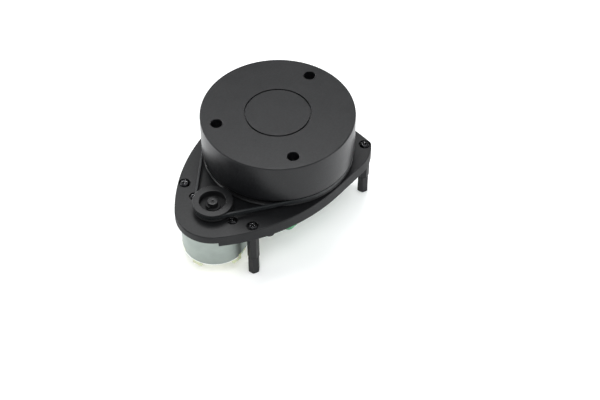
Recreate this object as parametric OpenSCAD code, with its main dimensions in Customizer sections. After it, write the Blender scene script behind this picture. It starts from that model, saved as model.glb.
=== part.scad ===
// Belt-driven lidar scanner module: a round head on a pear-shaped plate with a motor under its narrow end.
// Frame: +Z up, feet on z = 0, origin under the middle of the footprint.
// +X points from the scan axis to the motor.

/* [Plate] */
// Distance from the scan axis to the motor axis
axis_gap = 45.1; // [44.5:0.1:46]
// Half the width of the plate at the scan head
half_w = 35.1; // [34.5:0.1:36]
// Radius of the plate's narrow end about the motor axis
front_r = 17.2; // [17:0.1:18]
// Distance from the scan axis to the plate's rear edge
rear_reach = 34.5; // [34:0.1:35]
// Thickness of the plate's flat top
top_wall = 2; // [1.6:0.1:2.2]
// Thickness of the plate's rim
rim_wall = 2; // [1.6:0.1:2]
// Height of the plate's rim
rim_h = 6.2; // [5.8:0.1:6.4]
// Height that the rim is cut back around the motor
rim_step = 2.3; // [1.5:0.1:2.5]
// Radius of the plate's rear corners, about the rear screws
corner_r = 3.1; // [3:0.05:3.4]

/* [Standoffs] */
// Distance from the scan axis forward to the front screws
front_screw_x = 41.8; // [41:0.1:42.5]
// Half the distance between the front screws
front_screw_y = 20.1; // [19.8:0.1:20.5]
// Distance from the scan axis back to the rear screws
rear_screw_x = 28.8; // [28.5:0.1:29]
// Half the distance between the rear screws
rear_screw_y = 27.9; // [27.6:0.1:28.1]
// Length of the lower standoffs
lower_h = 10; // [8:1:15]
// Length of the upper standoffs
upper_h = 14; // [14:1:20]
// Hexagon size of the standoffs across flats
standoff_af = 4.75; // [4.5:0.05:5]
// Diameter of the mounting holes in the lower standoffs' feet
standoff_hole_d = 2.5; // [2.4:0.05:2.6]
// Core diameter of the corner screws and of the studs between the standoffs
screw_d = 2; // [1.9:0.05:2.05]

/* [Scan head] */
// Diameter of the scan head
head_d = 70; // [69:0.5:70]
// Height of the head's cap
cap_h = 20.7; // [20:0.1:24]
// Wall of the head's cap
cap_wall = 2; // [1.6:0.1:2.2]
// Width of the chamfer round the top of the cap
cap_edge = 0.6; // [0.3:0.1:1]
// Direction that the optics face, counted from +X
optics_yaw = 188.7; // [0:0.1:360]
// Diameter of the deep screw holes in the cap
cap_hole_d = 5.4; // [5:0.1:5.6]
// Distance of the deep screw holes from the scan axis
cap_hole_reach = 28; // [27.5:0.1:28]
// Radius of the ring groove round the badge
badge_r = 14.8; // [10:0.1:18]

/* [Belt drive] */
// Radius of the belt groove's floor on the turntable
groove_r = 33.5; // [33:0.1:33.5]
// Radius of the belt groove's floor on the pulley
pulley_r = 7.5; // [7:0.1:7.8]
// Thickness of the belt
belt_t = 1; // [0.8:0.1:1]
// Height of the belt
belt_h = 2.2; // [1.8:0.1:2.2]
// Diameter of the pulley's flanges
pulley_d = 18.1; // [18:0.1:18.6]
// Clearance between the belt and its grooves
belt_gap = 0.08; // [0.05:0.01:0.1]

/* [Motor] */
// Diameter of the motor can
can_d = 30; // [29:0.1:30]
// Length of the motor can
can_h = 19.5; // [18.5:0.1:19.5]
// Diameter of the motor shaft
shaft_d = 2; // [1.8:0.1:2.2]
// Distance of the motor screws from the motor axis
motor_screw_y = 11.4; // [11.2:0.1:12]

/* [Bearing] */
// Bore of the ball bearing
bearing_d = 17; // [17:0.1:17.2]
// Outside diameter of the ball bearing
bearing_od = 26; // [26:0.1:26.2]
// Width of the ball bearing
bearing_w = 5; // [5:0.1:5.2]
// Number of balls
ball_count = 14; // [10:1:18]

/* [Hidden] */
$fn = 96;

// Small overlap that lets a cut run past a face
eps = 0.5;
// Radial gap of pieces that are pressed or glued together
fit_gap = 0.02;

// Colours
black_plastic = [0.10, 0.10, 0.11];
dark_plastic = [0.06, 0.06, 0.065];
rubber = [0.05, 0.05, 0.05];
can_metal = [0.70, 0.72, 0.72];
steel = [0.62, 0.62, 0.64];
black_steel = [0.08, 0.08, 0.08];
brass = [0.80, 0.62, 0.28];
gold = [0.90, 0.72, 0.30];
copper = [0.75, 0.40, 0.20];
nylon = [0.86, 0.88, 0.66];
ivory = [0.90, 0.87, 0.76];
board_green = [0.03, 0.36, 0.16];
chip_black = [0.05, 0.05, 0.05];
magnet_grey = [0.22, 0.22, 0.23];
lens_glass = [0.30, 0.32, 0.45];

// Places of the two axes
scan_x = (max(rear_reach, head_d / 2) - axis_gap - front_r) / 2;
motor_x = scan_x + axis_gap;

// Plate
stand_h = lower_h + upper_h;
boss_h = 6.5;
plate_top = stand_h + boss_h;
plate_under = plate_top - top_wall;
rim_z = plate_top - rim_h;
flank_r = (axis_gap * axis_gap + half_w * half_w - front_r * front_r) / (2 * (half_w - front_r));
flank_end_x = axis_gap * flank_r / (flank_r - front_r);
shoulder_r = 20;
shoulder_y = half_w - shoulder_r;
shoulder_x = -rear_screw_x + sqrt(pow(shoulder_r - corner_r, 2) - pow(rear_screw_y - shoulder_y, 2));
rear_drop = rear_reach - rear_screw_x;
rear_r = (pow(rear_screw_y, 2) + pow(rear_drop, 2) - pow(corner_r, 2)) / (2 * (rear_drop - corner_r));
corner_side = unit([-rear_screw_x - shoulder_x, rear_screw_y - shoulder_y]);
corner_back = unit([rear_reach - rear_screw_x - rear_r, rear_screw_y]);
corner_wedge = 10 * [[0, 0], corner_side, corner_side + corner_back, corner_back];
front_screws = [for (s = [-1, 1]) [scan_x + front_screw_x, s * front_screw_y]];
rear_screws = [for (s = [-1, 1]) [scan_x - rear_screw_x, s * rear_screw_y]];
corner_screw_places = concat(front_screws, rear_screws);
counterbore_d = 5.3;
counterbore_h = 1.1;
screw_head_d = 4.5;
screw_head_h = 1.5;
screw_length = 9;
screw_clear_r = 1.45;
stud_gap = 0.03;
stud_length = 4.7;
stud_hole_depth = 5;
foot_hole_depth = 4;
lower_turn = 36;
upper_turn = 10;
motor_screw_places = [for (s = [-1, 1]) [motor_x, s * motor_screw_y]];
motor_screw_d = 2;
motor_head_d = 3.6;
motor_head_h = 1.3;
motor_screw_length = 2.6;
motor_recess_r = 2.2;
motor_recess_h = 1;
post_places = [for (s = [-1, 1]) [scan_x + 35.2, s * 24]];
post_d = 5;
post_drop = 1.8;
step_half_angle = 49;
step_reach = 2 * front_r;
board_boss_r = 2.6;
board_pilot_r = 0.9;
pilot_cover = 0.6;

// Bearing, hub and slip ring
bearing_z = plate_top - bearing_w - 0.3;
bearing_top = bearing_z + bearing_w;
bearing_seat = 2;
race_lip = 0.6;
cage_half_t = 0.4;
cage_half_h = 1.6;
cage_gap = 0.1;
housing_r = bearing_od / 2 + 2.5;
housing_z = bearing_z - 1.3;
hub_r = bearing_d / 2 - fit_gap;
hub_bore_r = 6.7;
hub_shoulder = 1.3;
hub_z = housing_z + 0.4;
clip_out = 1;
clip_in = 0.4;
clip_z = hub_z + 0.2;
ball_pitch_r = (bearing_d + bearing_od) / 4;
ball_d = 2.4;
ball_gap = 0.04;
ball_z = bearing_z + bearing_w / 2;
slip_flange_h = 1.6;
slip_z = housing_z - slip_flange_h;
slip_top = plate_top + 4.1;
slip_r = 6.2;
slip_wall = 1;
slip_floor = 1.8;
slip_mouth_r = 1.8;
slip_screw_reach = 13.9;
slip_screw_d = 1.1;
slip_screw_places = [for (a = [30, 150, 270]) slip_screw_reach * [cos(a), sin(a)]];
contact_r = 2.6;
contact_seat_r = 1.3;
contact_t = 0.8;
contact_count = 6;
contact_pitch = 1.3;
contact_z = slip_z + 3.5;
brush_t = 0.3;
brush_l = 8.4;
brush_gap = 0.06;
rotor_r = 1.6;
rotor_flange_r = 7.7;
rotor_flange_t = 1.2;
thin_lead_d = 0.8;
head_lead_angles = [120, 150, 180, 210, 240];
base_lead_angles = [185, 195, 205, 215, 225];

// Control board under the plate
board_t = 1.6;
board_top = housing_z - 0.3;
board_z = board_top - board_t;
board_rear = scan_x - 24.5;
board_front = scan_x + 28.7;
board_half_w = 30;
board_corner_r = 2.4;
board_cutout_r = 4.2;
board_screw_d = 1.7;
board_screw_length = 5;
board_hole_r = housing_r + 0.7;
board_screw_places = [for (x = [-19.5, 21.5], s = [-1, 1]) [scan_x + x, s * 24]];
// Boxes of the chips and parts about the scan axis: x, y, width, depth and height
control_chip_boxes = [[-13, 19, 9, 9, 1.4], [5, 20.5, 6, 5, 1.5], [3, -27, 5, 6, 1.5], [20, -12, 4, 6, 1.2]];
coil_box = [-2, 22.5, 3.5, 3.5, 1.2];
control_part_boxes = concat([coil_box], [for (i = [0:3]) [18.5, 16 - i * 3, 1, 2, 0.6]]);
control_capacitors = [[-10, -23.5], [13.5, -23]];
control_capacitor_r = 3.1;
control_capacitor_h = 5.4;
socket_h = 6;
socket_t = 4.5;
socket_wall = 0.6;
socket_end_wall = 0.7;
socket_floor = 1.5;
key_w = 1;
key_h = 2.5;
key_spread = 1.2;
pin_pitch = 2;
pin_w = 0.5;
pin_gap = 0.04;
pin_inset = 0.9;
pin_tail = 0.8;
plug_half = [1.55, 2.1];
plug_collar_half = [1.9, 2.6];
plug_collar_h = 1;
plug_bore_half = 0.35;
plug_z = board_z - socket_h - 1.2;
plug_top = board_z - 1.8;
socket_x = board_rear + 3.6;
data_socket_y = -9;
control_socket_y = 8;
motor_socket_x = scan_x + 25.2;
motor_socket_y = 0;
data_pins = [for (i = [0:3]) [socket_x, data_socket_y + (i - 1.5) * pin_pitch]];
control_pins = [for (i = [0:2]) [socket_x, control_socket_y + (i - 1) * pin_pitch]];
motor_pins = [for (i = [0:1]) [motor_socket_x, motor_socket_y + (i - 0.5) * pin_pitch]];
socket_pin_places = concat(data_pins, control_pins, motor_pins);

// Scan head
groove_z = plate_top + 1.6;
cap_z = plate_top + 4.5;
head_top = cap_z + cap_h;
cap_r = head_d / 2;
cap_under = head_top - cap_wall;
deck_z = cap_z + 1;
deck_under = cap_z - 2;
cap_hole_angles = [0, 135, 225];
spigot_r = cap_r - cap_wall - 0.1;
skirt_r = cap_r - 0.2;
skirt_top = groove_z + belt_h + 0.4;
flange_z = plate_top + 0.8;
flange_r = groove_r + 1.1;
web_r = 29;
cone_r = 31;
badge_groove_half = 0.3;
badge_groove_h = 0.4;
tube_r = 4;
tube_floor = cap_z + 11;
tube_floor_t = 1.6;
tube_clear_r = 1.2;
pillar_r = 3.4;
pillar_bore_r = 1.05;
optics_z = cap_z + 10.4;
laser_y = -14;
laser_r = 4.5;
laser_bore_r = 2;
laser_front = 25;
laser_lens_r = 3.15;
diode_r = 2.8;
receiver_y = 13;
receiver_r = 7;
receiver_bore_r = 4.6;
receiver_front = 26.5;
receiver_lens_r = 5.65;
lens_seat = 22.5;
lens_edge = 1.2;
bracket_back = 8;
bracket_front = 22;
sensor_board_x = bracket_back - 1.2;
bracket_low_y = receiver_y - 8.6;
bracket_high_y = receiver_y + 8.5;
ranging_z = deck_z + 5;
ranging_t = 1.2;
ranging_top = ranging_z + ranging_t;
ranging_r = 30.5;
ranging_front = 5;
ranging_centre_r = 3.2;
ranging_cutout_r = 4.6;
ranging_chip_boxes = [[-22, -6, 10, 10, 1.4], [-10, 10, 6, 6, 1.1], [-10, -18, 5, 6, 1.5]];
crystal_box = [-4, -20, 3.5, 5, 1.3];
ranging_part_boxes = concat([crystal_box], [for (i = [0:5]) [-21 + i * 2, -10.5, 1, 2, 0.6]]);
ranging_capacitor = [-16, 10];
ranging_capacitor_r = 2.1;
ranging_capacitor_h = 4.2;
ranging_screw_places = [[-4, 25], [-4, -25], [-27, 0]];
small_screw_d = 1.5;
small_head_d = 3.6;
small_head_h = 1.2;
small_pilot_r = 0.8;
post_r = 2.3;
bracket_foot_h = 2.4;
bracket_screw_places = [for (u = [bracket_back + 2.5, bracket_front - 3]) [u, -1.7]];

// Motor
can_top = plate_under;
can_z = can_top - can_h;
can_r = can_d / 2;
can_wall = 0.7;
can_roof = 0.8;
inner_r = can_r - can_wall - 0.05;
collar_r = 3.5;
collar_h = 1.8;
bush_r = 2.2;
lower_bush_r = 2;
shaft_gap = 0.03;
shaft_top = plate_top + 4.4;
shaft_z = can_z - 1.6;
notch_w = 6;
notch_h = 1.5;
notch_angles = [98, 326];
tongue_gap = 0.4;
tongue_inset = 0.3;
end_cap_z = can_z - 0.3;
end_cap_top = can_z + 1.4;
end_boss_r = 4;
end_boss_z = can_z - 1.5;
tab_angles = [7, 84, 187, 264];
tab_low = [10.6, -2.4, can_z - 2.6];
tab_high = [can_r - 0.2, 2.4, can_z - 0.05];
terminal_x = -10.6;
terminal_y = 5;
terminal_t = 0.5;
terminal_w = 2;
terminal_z = can_z - 4.5;
eyelet_z = can_z - 3.4;
eyelet_d = 0.9;
magnet_z = can_z + 4;
magnet_top = can_top - 2;
magnet_split = 4;
air_gap = 0.6;
armature_r = 10.3;
armature_z = can_z + 5.5;
armature_h = 9.5;
armature_core_r = 3.4;
pole_angles = [0, 120, 240];
pole_w = 2.8;
shoe_t = 1.8;
shoe_spread = 2.6;
winding_low = [4, -3.1, armature_z - 1.3];
winding_high = [7.9, 3.1, armature_z + armature_h + 1.3];
winding_gap = 0.05;
commutator_r = 2.6;
commutator_z = can_z + 1.8;
commutator_h = 2.2;
commutator_slot = 0.3;
arm_y = commutator_r + 0.13;
arm_t = 0.24;
arm_h = 1.8;
arm_root = -10;

// Pulley
pulley_z = plate_top + 0.8;
pulley_top = plate_top + 5;
pulley_flange_z = pulley_top - 0.9;
pulley_recess_r = 6;
pulley_recess_h = 2.6;
pulley_hub_r = 2.35;
pulley_ledge_r = 3.4;
pulley_ledge_h = 3.4;
vent_r = 0.5;

// Routes of the two motor leads, from the plug down and under the can to the terminals
lead_d = 1.2;
lead_sides = 8;
red_route = [[11.5, 1, 14.8], [11.5, 1, 12], [12.5, 2, 8.5], [15, 4, 5.8], [18, 5, 5], [20.6, 5, 5]];
black_route = [for (p = red_route) [p[0], -p[1], p[2]]];

// ---------------------------------------------------------------- helpers

module at_scan() {
    translate([scan_x, 0, 0]) children();
}

module at_head() {
    at_scan() rotate([0, 0, optics_yaw]) children();
}

module at_motor() {
    translate([motor_x, 0, 0]) children();
}

module at_each(places) {
    for (p = places) translate([p[0], p[1], 0]) children();
}

module tube(r_out, r_in, z_low, z_high) {
    translate([0, 0, z_low]) difference() {
        cylinder(r = r_out, h = z_high - z_low);
        translate([0, 0, -eps]) cylinder(r = r_in, h = z_high - z_low + 2 * eps);
    }
}

module rod(r, z_low, z_high) {
    translate([0, 0, z_low]) cylinder(r = r, h = z_high - z_low);
}

// Box given by its low and high corners
module block(low, high) {
    translate(low) cube(high - low);
}

// Board parts from [x, y, width, depth, height] boxes, standing on or hanging under a height
module part_boxes(boxes, z, hang = false) {
    for (b = boxes) translate([b[0], b[1], hang ? z - b[4] : z]) cube([b[2], b[3], b[4]]);
}

// Pan head with a cross recess, its seat at z = 0, above a shank that points down
module cross_screw(d, head_d, head_h, length) {
    recess_w = head_d * 0.15;
    recess_l = head_d * 0.56;
    difference() {
        union() {
            translate([0, 0, -length]) cylinder(d = d, h = length + 0.2);
            rotate_extrude() polygon([
                [0, 0], [head_d / 2, 0], [head_d / 2, head_h * 0.45],
                [head_d * 0.42, head_h * 0.85], [head_d * 0.3, head_h], [0, head_h]
            ]);
        }
        for (a = [0, 90]) rotate([0, 0, a + 20])
            translate([-recess_l / 2, -recess_w / 2, head_h * 0.35]) cube([recess_l, recess_w, head_h]);
    }
}

// Rounded rectangle about the origin
module round_rect(w, h, r) {
    square([w - 2 * r, h], center = true);
    square([w, h - 2 * r], center = true);
    for (x = [-1, 1], y = [-1, 1]) translate([x * (w / 2 - r), y * (h / 2 - r)]) circle(r, $fn = 32);
}

// Point at parameter t on a smooth curve through a list of points
function along(p, t) =
    let (n = len(p) - 1, i = min(floor(t * n), n - 1), f = t * n - i)
    let (a = p[max(i - 1, 0)], b = p[i], c = p[i + 1], d = p[min(i + 2, n)])
    0.5 * ((2 * b) + (c - a) * f + (2 * a - 5 * b + 4 * c - d) * f * f + (3 * b - a - 3 * c + d) * f * f * f);

function unit(v) = v / norm(v);

// Round tube swept along a route
module lead(route, steps = 24) {
    points = [for (i = [0:steps]) along(route, i / steps)];
    rings = [for (i = [0:steps])
        let (way = unit(points[min(i + 1, steps)] - points[max(i - 1, 0)]))
        let (side = unit(cross(way, [0.3, 1, 0.1])), up = cross(side, way))
        for (k = [0:lead_sides - 1])
            points[i] + lead_d / 2 * (side * cos(360 * k / lead_sides) + up * sin(360 * k / lead_sides))];
    last = steps * lead_sides;
    walls = [for (i = [0:steps - 1], k = [0:lead_sides - 1])
        let (n = (k + 1) % lead_sides, low = i * lead_sides, high = low + lead_sides)
        [low + k, high + k, high + n, low + n]];
    ends = [[for (k = [0:lead_sides - 1]) k], [for (k = [lead_sides - 1:-1:0]) last + k]];
    polyhedron(points = rings, faces = concat(walls, ends), convexity = 4);
}

// ---------------------------------------------------------------- base

// Outline of the plate about the scan axis, made of arcs that meet smoothly
module plate_outline(inset = 0) {
    intersection() {
        translate([0, half_w - flank_r]) circle(flank_r - inset, $fn = 240);
        translate([0, flank_r - half_w]) circle(flank_r - inset, $fn = 240);
        translate([0, -half_w]) square([flank_end_x, 2 * half_w]);
    }
    translate([axis_gap, 0]) circle(front_r - inset);
    translate([shoulder_x, inset - half_w]) square([-shoulder_x, 2 * (half_w - inset)]);
    difference() {
        intersection() {
            translate([rear_r - rear_reach, 0]) circle(rear_r - inset, $fn = 360);
            union() {
                for (s = [-1, 1]) translate([shoulder_x, s * shoulder_y]) circle(shoulder_r - inset);
                translate([-rear_reach, -shoulder_y]) square([rear_reach + shoulder_x, 2 * shoulder_y]);
            }
            translate([-rear_reach, -half_w]) square([rear_reach + shoulder_x, 2 * half_w]);
        }
        for (s = [-1, 1]) translate([-rear_screw_x, s * rear_screw_y]) scale([1, s]) polygon(corner_wedge);
    }
    for (s = [-1, 1]) translate([-rear_screw_x, s * rear_screw_y]) circle(corner_r - inset);
}

module base_plate() {
    color(black_plastic) difference() {
        union() {
            at_scan() difference() {
                translate([0, 0, rim_z]) linear_extrude(rim_h) plate_outline();
                translate([0, 0, rim_z - eps]) linear_extrude(rim_h - top_wall + eps) plate_outline(rim_wall);
                translate([axis_gap, 0, rim_z - eps]) linear_extrude(rim_step + eps)
                    polygon([[0, 0], for (a = [-1, 1] * step_half_angle) step_reach * [cos(a), sin(a)]]);
            }
            at_scan() rod(housing_r, housing_z, plate_under + eps);
            at_each(corner_screw_places) rod(corner_r - 0.1, stand_h, plate_under + eps);
            at_each(board_screw_places) rod(board_boss_r, board_top, plate_under + eps);
            at_each(post_places) rod(post_d / 2, rim_z - post_drop, plate_under + eps);
        }
        at_scan() rod(bearing_od / 2 + fit_gap, bearing_z, plate_top + eps);
        at_scan() rod(bearing_od / 2 - bearing_seat, housing_z - eps, bearing_z + eps);
        at_each(corner_screw_places) rod(screw_clear_r, stand_h - eps, plate_top + eps);
        at_each(corner_screw_places) rod(counterbore_d / 2, plate_top - counterbore_h, plate_top + eps);
        at_each(motor_screw_places) rod(motor_screw_d / 2 + 0.15, plate_under - eps, plate_top + eps);
        at_each(motor_screw_places) rod(motor_recess_r, plate_top - motor_recess_h, plate_top + eps);
        at_motor() rod(collar_r + 0.3, plate_under - eps, plate_top + eps);
        at_each(board_screw_places) rod(board_pilot_r, board_top - eps, plate_under - pilot_cover);
        at_scan() at_each(slip_screw_places) rod(0.6, housing_z - eps, housing_z + 3);
    }
}

module standoff(length, stud) {
    af_r = standoff_af / 2 / cos(30);
    chamfer = 0.5;
    difference() {
        intersection() {
            cylinder(r = af_r, h = length, $fn = 6);
            rotate_extrude() polygon([
                [0, 0], [af_r - chamfer, 0], [af_r + 0.1, chamfer * 0.8],
                [af_r + 0.1, length - chamfer * 0.8], [af_r - chamfer, length], [0, length]
            ]);
        }
        if (stud == 0) translate([0, 0, -eps]) cylinder(d = standoff_hole_d, h = foot_hole_depth + eps);
        rod(screw_d / 2 + stud_gap, length - stud_hole_depth, length + eps);
    }
    if (stud > 0) translate([0, 0, -stud]) cylinder(d = screw_d, h = stud + eps);
}

module lower_standoffs() {
    color(dark_plastic) at_each(corner_screw_places) rotate([0, 0, lower_turn]) standoff(lower_h, 0);
}

module upper_standoffs() {
    color(dark_plastic) at_each(corner_screw_places) translate([0, 0, lower_h]) rotate([0, 0, upper_turn])
        standoff(upper_h, stud_length);
}

module corner_screws() {
    color(black_steel) at_each(corner_screw_places) translate([0, 0, plate_top - counterbore_h])
        cross_screw(screw_d, screw_head_d, screw_head_h, screw_length);
}

module motor_screws() {
    color(black_steel) at_each(motor_screw_places) translate([0, 0, plate_top - motor_recess_h])
        cross_screw(motor_screw_d, motor_head_d, motor_head_h, motor_screw_length);
}

module drive_belt() {
    big_r = groove_r + belt_gap;
    small_r = pulley_r + belt_gap;
    color(rubber) at_scan() translate([0, 0, groove_z + 0.2]) linear_extrude(belt_h) difference() {
        belt_loop(big_r + belt_t, small_r + belt_t);
        belt_loop(big_r, small_r);
    }
}

// Two circles and the straight runs that touch both
module belt_loop(big_r, small_r) {
    lean = acos((big_r - small_r) / axis_gap);
    circle(big_r, $fn = 180);
    translate([axis_gap, 0]) circle(small_r);
    polygon([
        big_r * [cos(lean), sin(lean)],
        big_r * [cos(lean), -sin(lean)],
        [axis_gap, 0] + small_r * [cos(lean), -sin(lean)],
        [axis_gap, 0] + small_r * [cos(lean), sin(lean)]
    ]);
}

// ---------------------------------------------------------------- control electronics under the plate

module control_board() {
    color(board_green) difference() {
        translate([(board_rear + board_front) / 2, 0, board_z]) linear_extrude(board_t)
            round_rect(board_front - board_rear, 2 * board_half_w, board_corner_r);
        at_scan() rod(board_hole_r, board_z - eps, board_top + eps);
        at_each(board_screw_places) rod(board_pilot_r + 0.3, board_z - eps, board_top + eps);
        at_each(rear_screws) rod(board_cutout_r, board_z - eps, board_top + eps);
        at_each(socket_pin_places) rod(pin_w / sqrt(2) + pin_gap, board_z - eps, board_top + eps);
    }
}

module control_chips() {
    color(chip_black) at_scan() part_boxes(control_chip_boxes, board_z, true);
}

module control_parts() {
    color(steel) at_scan() {
        at_each(control_capacitors) rod(control_capacitor_r, board_z - control_capacitor_h, board_z);
        part_boxes(control_part_boxes, board_z, true);
    }
}

module control_board_screws() {
    color(steel) at_each(board_screw_places) translate([0, 0, board_z]) rotate([180, 0, 0])
        cross_screw(board_screw_d, motor_head_d, motor_head_h, board_screw_length);
}

module pin_socket(pins) {
    half_l = len(pins) * pin_pitch / 2 + 0.95;
    half_t = socket_t / 2;
    low = board_z - socket_h;
    difference() {
        block([-half_t, -half_l, low], [half_t, half_l, board_z]);
        block([socket_wall - half_t, socket_end_wall - half_l, low - eps],
            [half_t - socket_wall, half_l - socket_end_wall, board_z - socket_floor]);
        for (s = [-1, 1]) translate([-socket_t, s * key_spread - key_w / 2, low - eps])
            cube([socket_t, key_w, key_h + eps]);
        for (p = pins) translate(p - (pins[0] + pins[len(pins) - 1]) / 2) pin(pin_w + 2 * pin_gap);
    }
}

// Square pin through a socket's floor and the board, its middle on the origin
module pin(w) {
    block([-w / 2, -w / 2, board_z - socket_h + pin_inset], [w / 2, w / 2, board_top + pin_tail]);
}

module data_socket() {
    color(ivory) translate([socket_x, data_socket_y, 0]) pin_socket(data_pins);
}

module control_socket() {
    color(ivory) translate([socket_x, control_socket_y, 0]) pin_socket(control_pins);
}

module motor_socket() {
    color(ivory) translate([motor_socket_x, motor_socket_y, 0]) pin_socket(motor_pins);
}

module socket_pins() {
    color(gold) at_each(socket_pin_places) pin(pin_w);
}

module motor_plug() {
    color(ivory) translate([motor_socket_x, motor_socket_y, 0]) difference() {
        union() {
            block([each -plug_half, plug_z], [each plug_half, plug_top]);
            block([each -plug_collar_half, plug_z], [each plug_collar_half, plug_z + plug_collar_h]);
        }
        for (s = [-1, 1]) translate([0, s * pin_pitch / 2, 0])
            block([-plug_bore_half, -plug_bore_half, plug_z - eps],
                [plug_bore_half, plug_bore_half, plug_top + eps]);
    }
}

module motor_lead_red() {
    color("firebrick") lead(red_route);
}

module motor_lead_black() {
    color([0.05, 0.05, 0.05]) lead(black_route);
}

// ---------------------------------------------------------------- motor, fixed pieces

module motor_can() {
    color(can_metal) at_motor() difference() {
        union() {
            rod(can_r, can_z, can_top);
            rod(collar_r, can_top - eps, can_top + collar_h);
        }
        rod(can_r - can_wall, can_z - eps, can_top - can_roof);
        rod(bush_r + fit_gap, can_z, can_top + collar_h + eps);
        for (s = [-1, 1]) translate([0, s * motor_screw_y, 0])
            rod(motor_screw_d / 2 + 0.05, can_top - 2 * can_roof, can_top + eps);
        for (a = notch_angles) rotate([0, 0, a])
            block([can_r - 3, -notch_w / 2, can_z - eps], [can_r + eps, notch_w / 2, can_z + notch_h]);
    }
}

module motor_magnets() {
    color(magnet_grey) at_motor() difference() {
        tube(inner_r, armature_r + air_gap, magnet_z, magnet_top);
        block([-can_r, -magnet_split / 2, can_z], [can_r, magnet_split / 2, can_top]);
    }
}

module motor_end_cap() {
    color(nylon) at_motor() difference() {
        union() {
            rod(inner_r, end_cap_z, end_cap_top);
            rod(end_boss_r, end_boss_z, can_z);
            for (a = tab_angles) rotate([0, 0, a]) block(tab_low, tab_high);
            for (a = notch_angles) rotate([0, 0, a]) end_cap_tongue();
        }
        rod(lower_bush_r + fit_gap, end_boss_z - eps, end_cap_top + eps);
        terminals(terminal_t + 0.1, terminal_w + 0.2, tab_low[2] - eps, end_cap_top + eps);
    }
}

// Tongue of the end cap in one of the can's notches
module end_cap_tongue() {
    half = notch_w / 2 - tongue_gap;
    block([tab_low[0], -half, end_cap_z], [can_r - tongue_inset, half, can_z + notch_h - 0.2]);
}

module motor_brushes() {
    color(copper) at_motor() for (s = [-1, 1]) scale([1, s, 1]) {
        block([arm_root, arm_y, commutator_z], [3, arm_y + arm_t, commutator_z + arm_h]);
        block([arm_root - 0.3, arm_y, end_cap_top], [arm_root, 5.6, commutator_z + arm_h]);
    }
}

// The two upright blades at the terminals' places
module terminals(t, w, z_low, z_high) {
    for (s = [-1, 1]) translate([terminal_x, s * terminal_y, 0])
        block([-t / 2, -w / 2, z_low], [t / 2, w / 2, z_high]);
}

module motor_terminals() {
    color(brass) at_motor() difference() {
        terminals(terminal_t, terminal_w, terminal_z, end_cap_top);
        for (s = [-1, 1]) translate([terminal_x - 1, s * terminal_y, eyelet_z])
            rotate([0, 90, 0]) cylinder(d = eyelet_d, h = 2, $fn = 24);
    }
}

module motor_upper_bush() {
    color(brass) at_motor() tube(bush_r, shaft_d / 2 + shaft_gap, can_top - collar_h, can_top + collar_h);
}

module motor_lower_bush() {
    color(brass) at_motor() tube(lower_bush_r, shaft_d / 2 + shaft_gap, end_boss_z, end_cap_top);
}

// ---------------------------------------------------------------- motor, turning pieces

module drive_pulley() {
    color(dark_plastic) at_motor() difference() {
        union() {
            rod(pulley_d / 2 - 0.2, pulley_z, groove_z);
            rod(pulley_r, pulley_z, pulley_flange_z + 0.1);
            rod(pulley_d / 2, pulley_flange_z, pulley_top);
        }
        tube(pulley_recess_r, pulley_hub_r, pulley_top - pulley_recess_h, pulley_top + eps);
        tube(pulley_recess_r, pulley_ledge_r, pulley_top - pulley_ledge_h, pulley_top - 2);
        rod(shaft_d / 2 + fit_gap, pulley_z - eps, shaft_top);
        rod(vent_r, shaft_top - eps, pulley_top + eps);
    }
}

module motor_shaft() {
    color(steel) at_motor() rod(shaft_d / 2, shaft_z, shaft_top);
}

module motor_armature() {
    color(steel) at_motor() translate([0, 0, armature_z]) linear_extrude(armature_h) difference() {
        union() {
            circle(armature_core_r);
            for (a = pole_angles) rotate([0, 0, a]) {
                translate([0, -pole_w / 2]) square([armature_r - 1, pole_w]);
                intersection() {
                    difference() {
                        circle(armature_r);
                        circle(armature_r - shoe_t);
                    }
                    polygon(armature_r * [[0, 0], [2, -shoe_spread], [2, shoe_spread]]);
                }
            }
        }
        circle(shaft_d / 2 + fit_gap);
    }
}

module motor_windings() {
    bore_half = pole_w / 2 + winding_gap;
    color(copper) at_motor() for (a = pole_angles) rotate([0, 0, a]) difference() {
        block(winding_low, winding_high);
        block([winding_low[0] - 1, -bore_half, armature_z - winding_gap],
            [winding_high[0] + 1, bore_half, armature_z + armature_h + winding_gap]);
    }
}

module motor_commutator() {
    color(copper) at_motor() difference() {
        rod(commutator_r, commutator_z, commutator_z + commutator_h);
        rod(shaft_d / 2 + fit_gap, commutator_z - eps, commutator_z + commutator_h + eps);
        for (a = pole_angles) rotate([0, 0, a])
            translate([1.6, -commutator_slot / 2, commutator_z - eps])
                cube([2, commutator_slot, commutator_h + 2 * eps]);
    }
}

// ---------------------------------------------------------------- bearing

module race_ring(r_out, r_in) {
    difference() {
        tube(r_out, r_in, bearing_z, bearing_top);
        rotate_extrude() translate([ball_pitch_r, ball_z]) circle(ball_d / 2 + ball_gap, $fn = 48);
    }
}

module bearing_outer_race() {
    color(steel) at_scan() race_ring(bearing_od / 2, ball_pitch_r + race_lip);
}

module bearing_inner_race() {
    color(steel) at_scan() race_ring(ball_pitch_r - race_lip, bearing_d / 2);
}

module bearing_balls() {
    color(steel) at_scan() for (i = [0:ball_count - 1]) rotate([0, 0, 360 * i / ball_count])
        translate([ball_pitch_r, 0, ball_z]) sphere(d = ball_d, $fn = 32);
}

module bearing_cage() {
    color(nylon) at_scan() difference() {
        translate([0, 0, ball_z])
            tube(ball_pitch_r + cage_half_t, ball_pitch_r - cage_half_t, -cage_half_h, cage_half_h);
        for (i = [0:ball_count - 1]) rotate([0, 0, 360 * i / ball_count])
            translate([ball_pitch_r - 1, 0, ball_z]) rotate([0, 90, 0])
                cylinder(d = ball_d + cage_gap, h = 2, $fn = 32);
    }
}

module retaining_ring() {
    color(steel) at_scan() tube(hub_r + clip_out, hub_r - clip_in, clip_z, bearing_z);
}

// ---------------------------------------------------------------- slip ring

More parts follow.
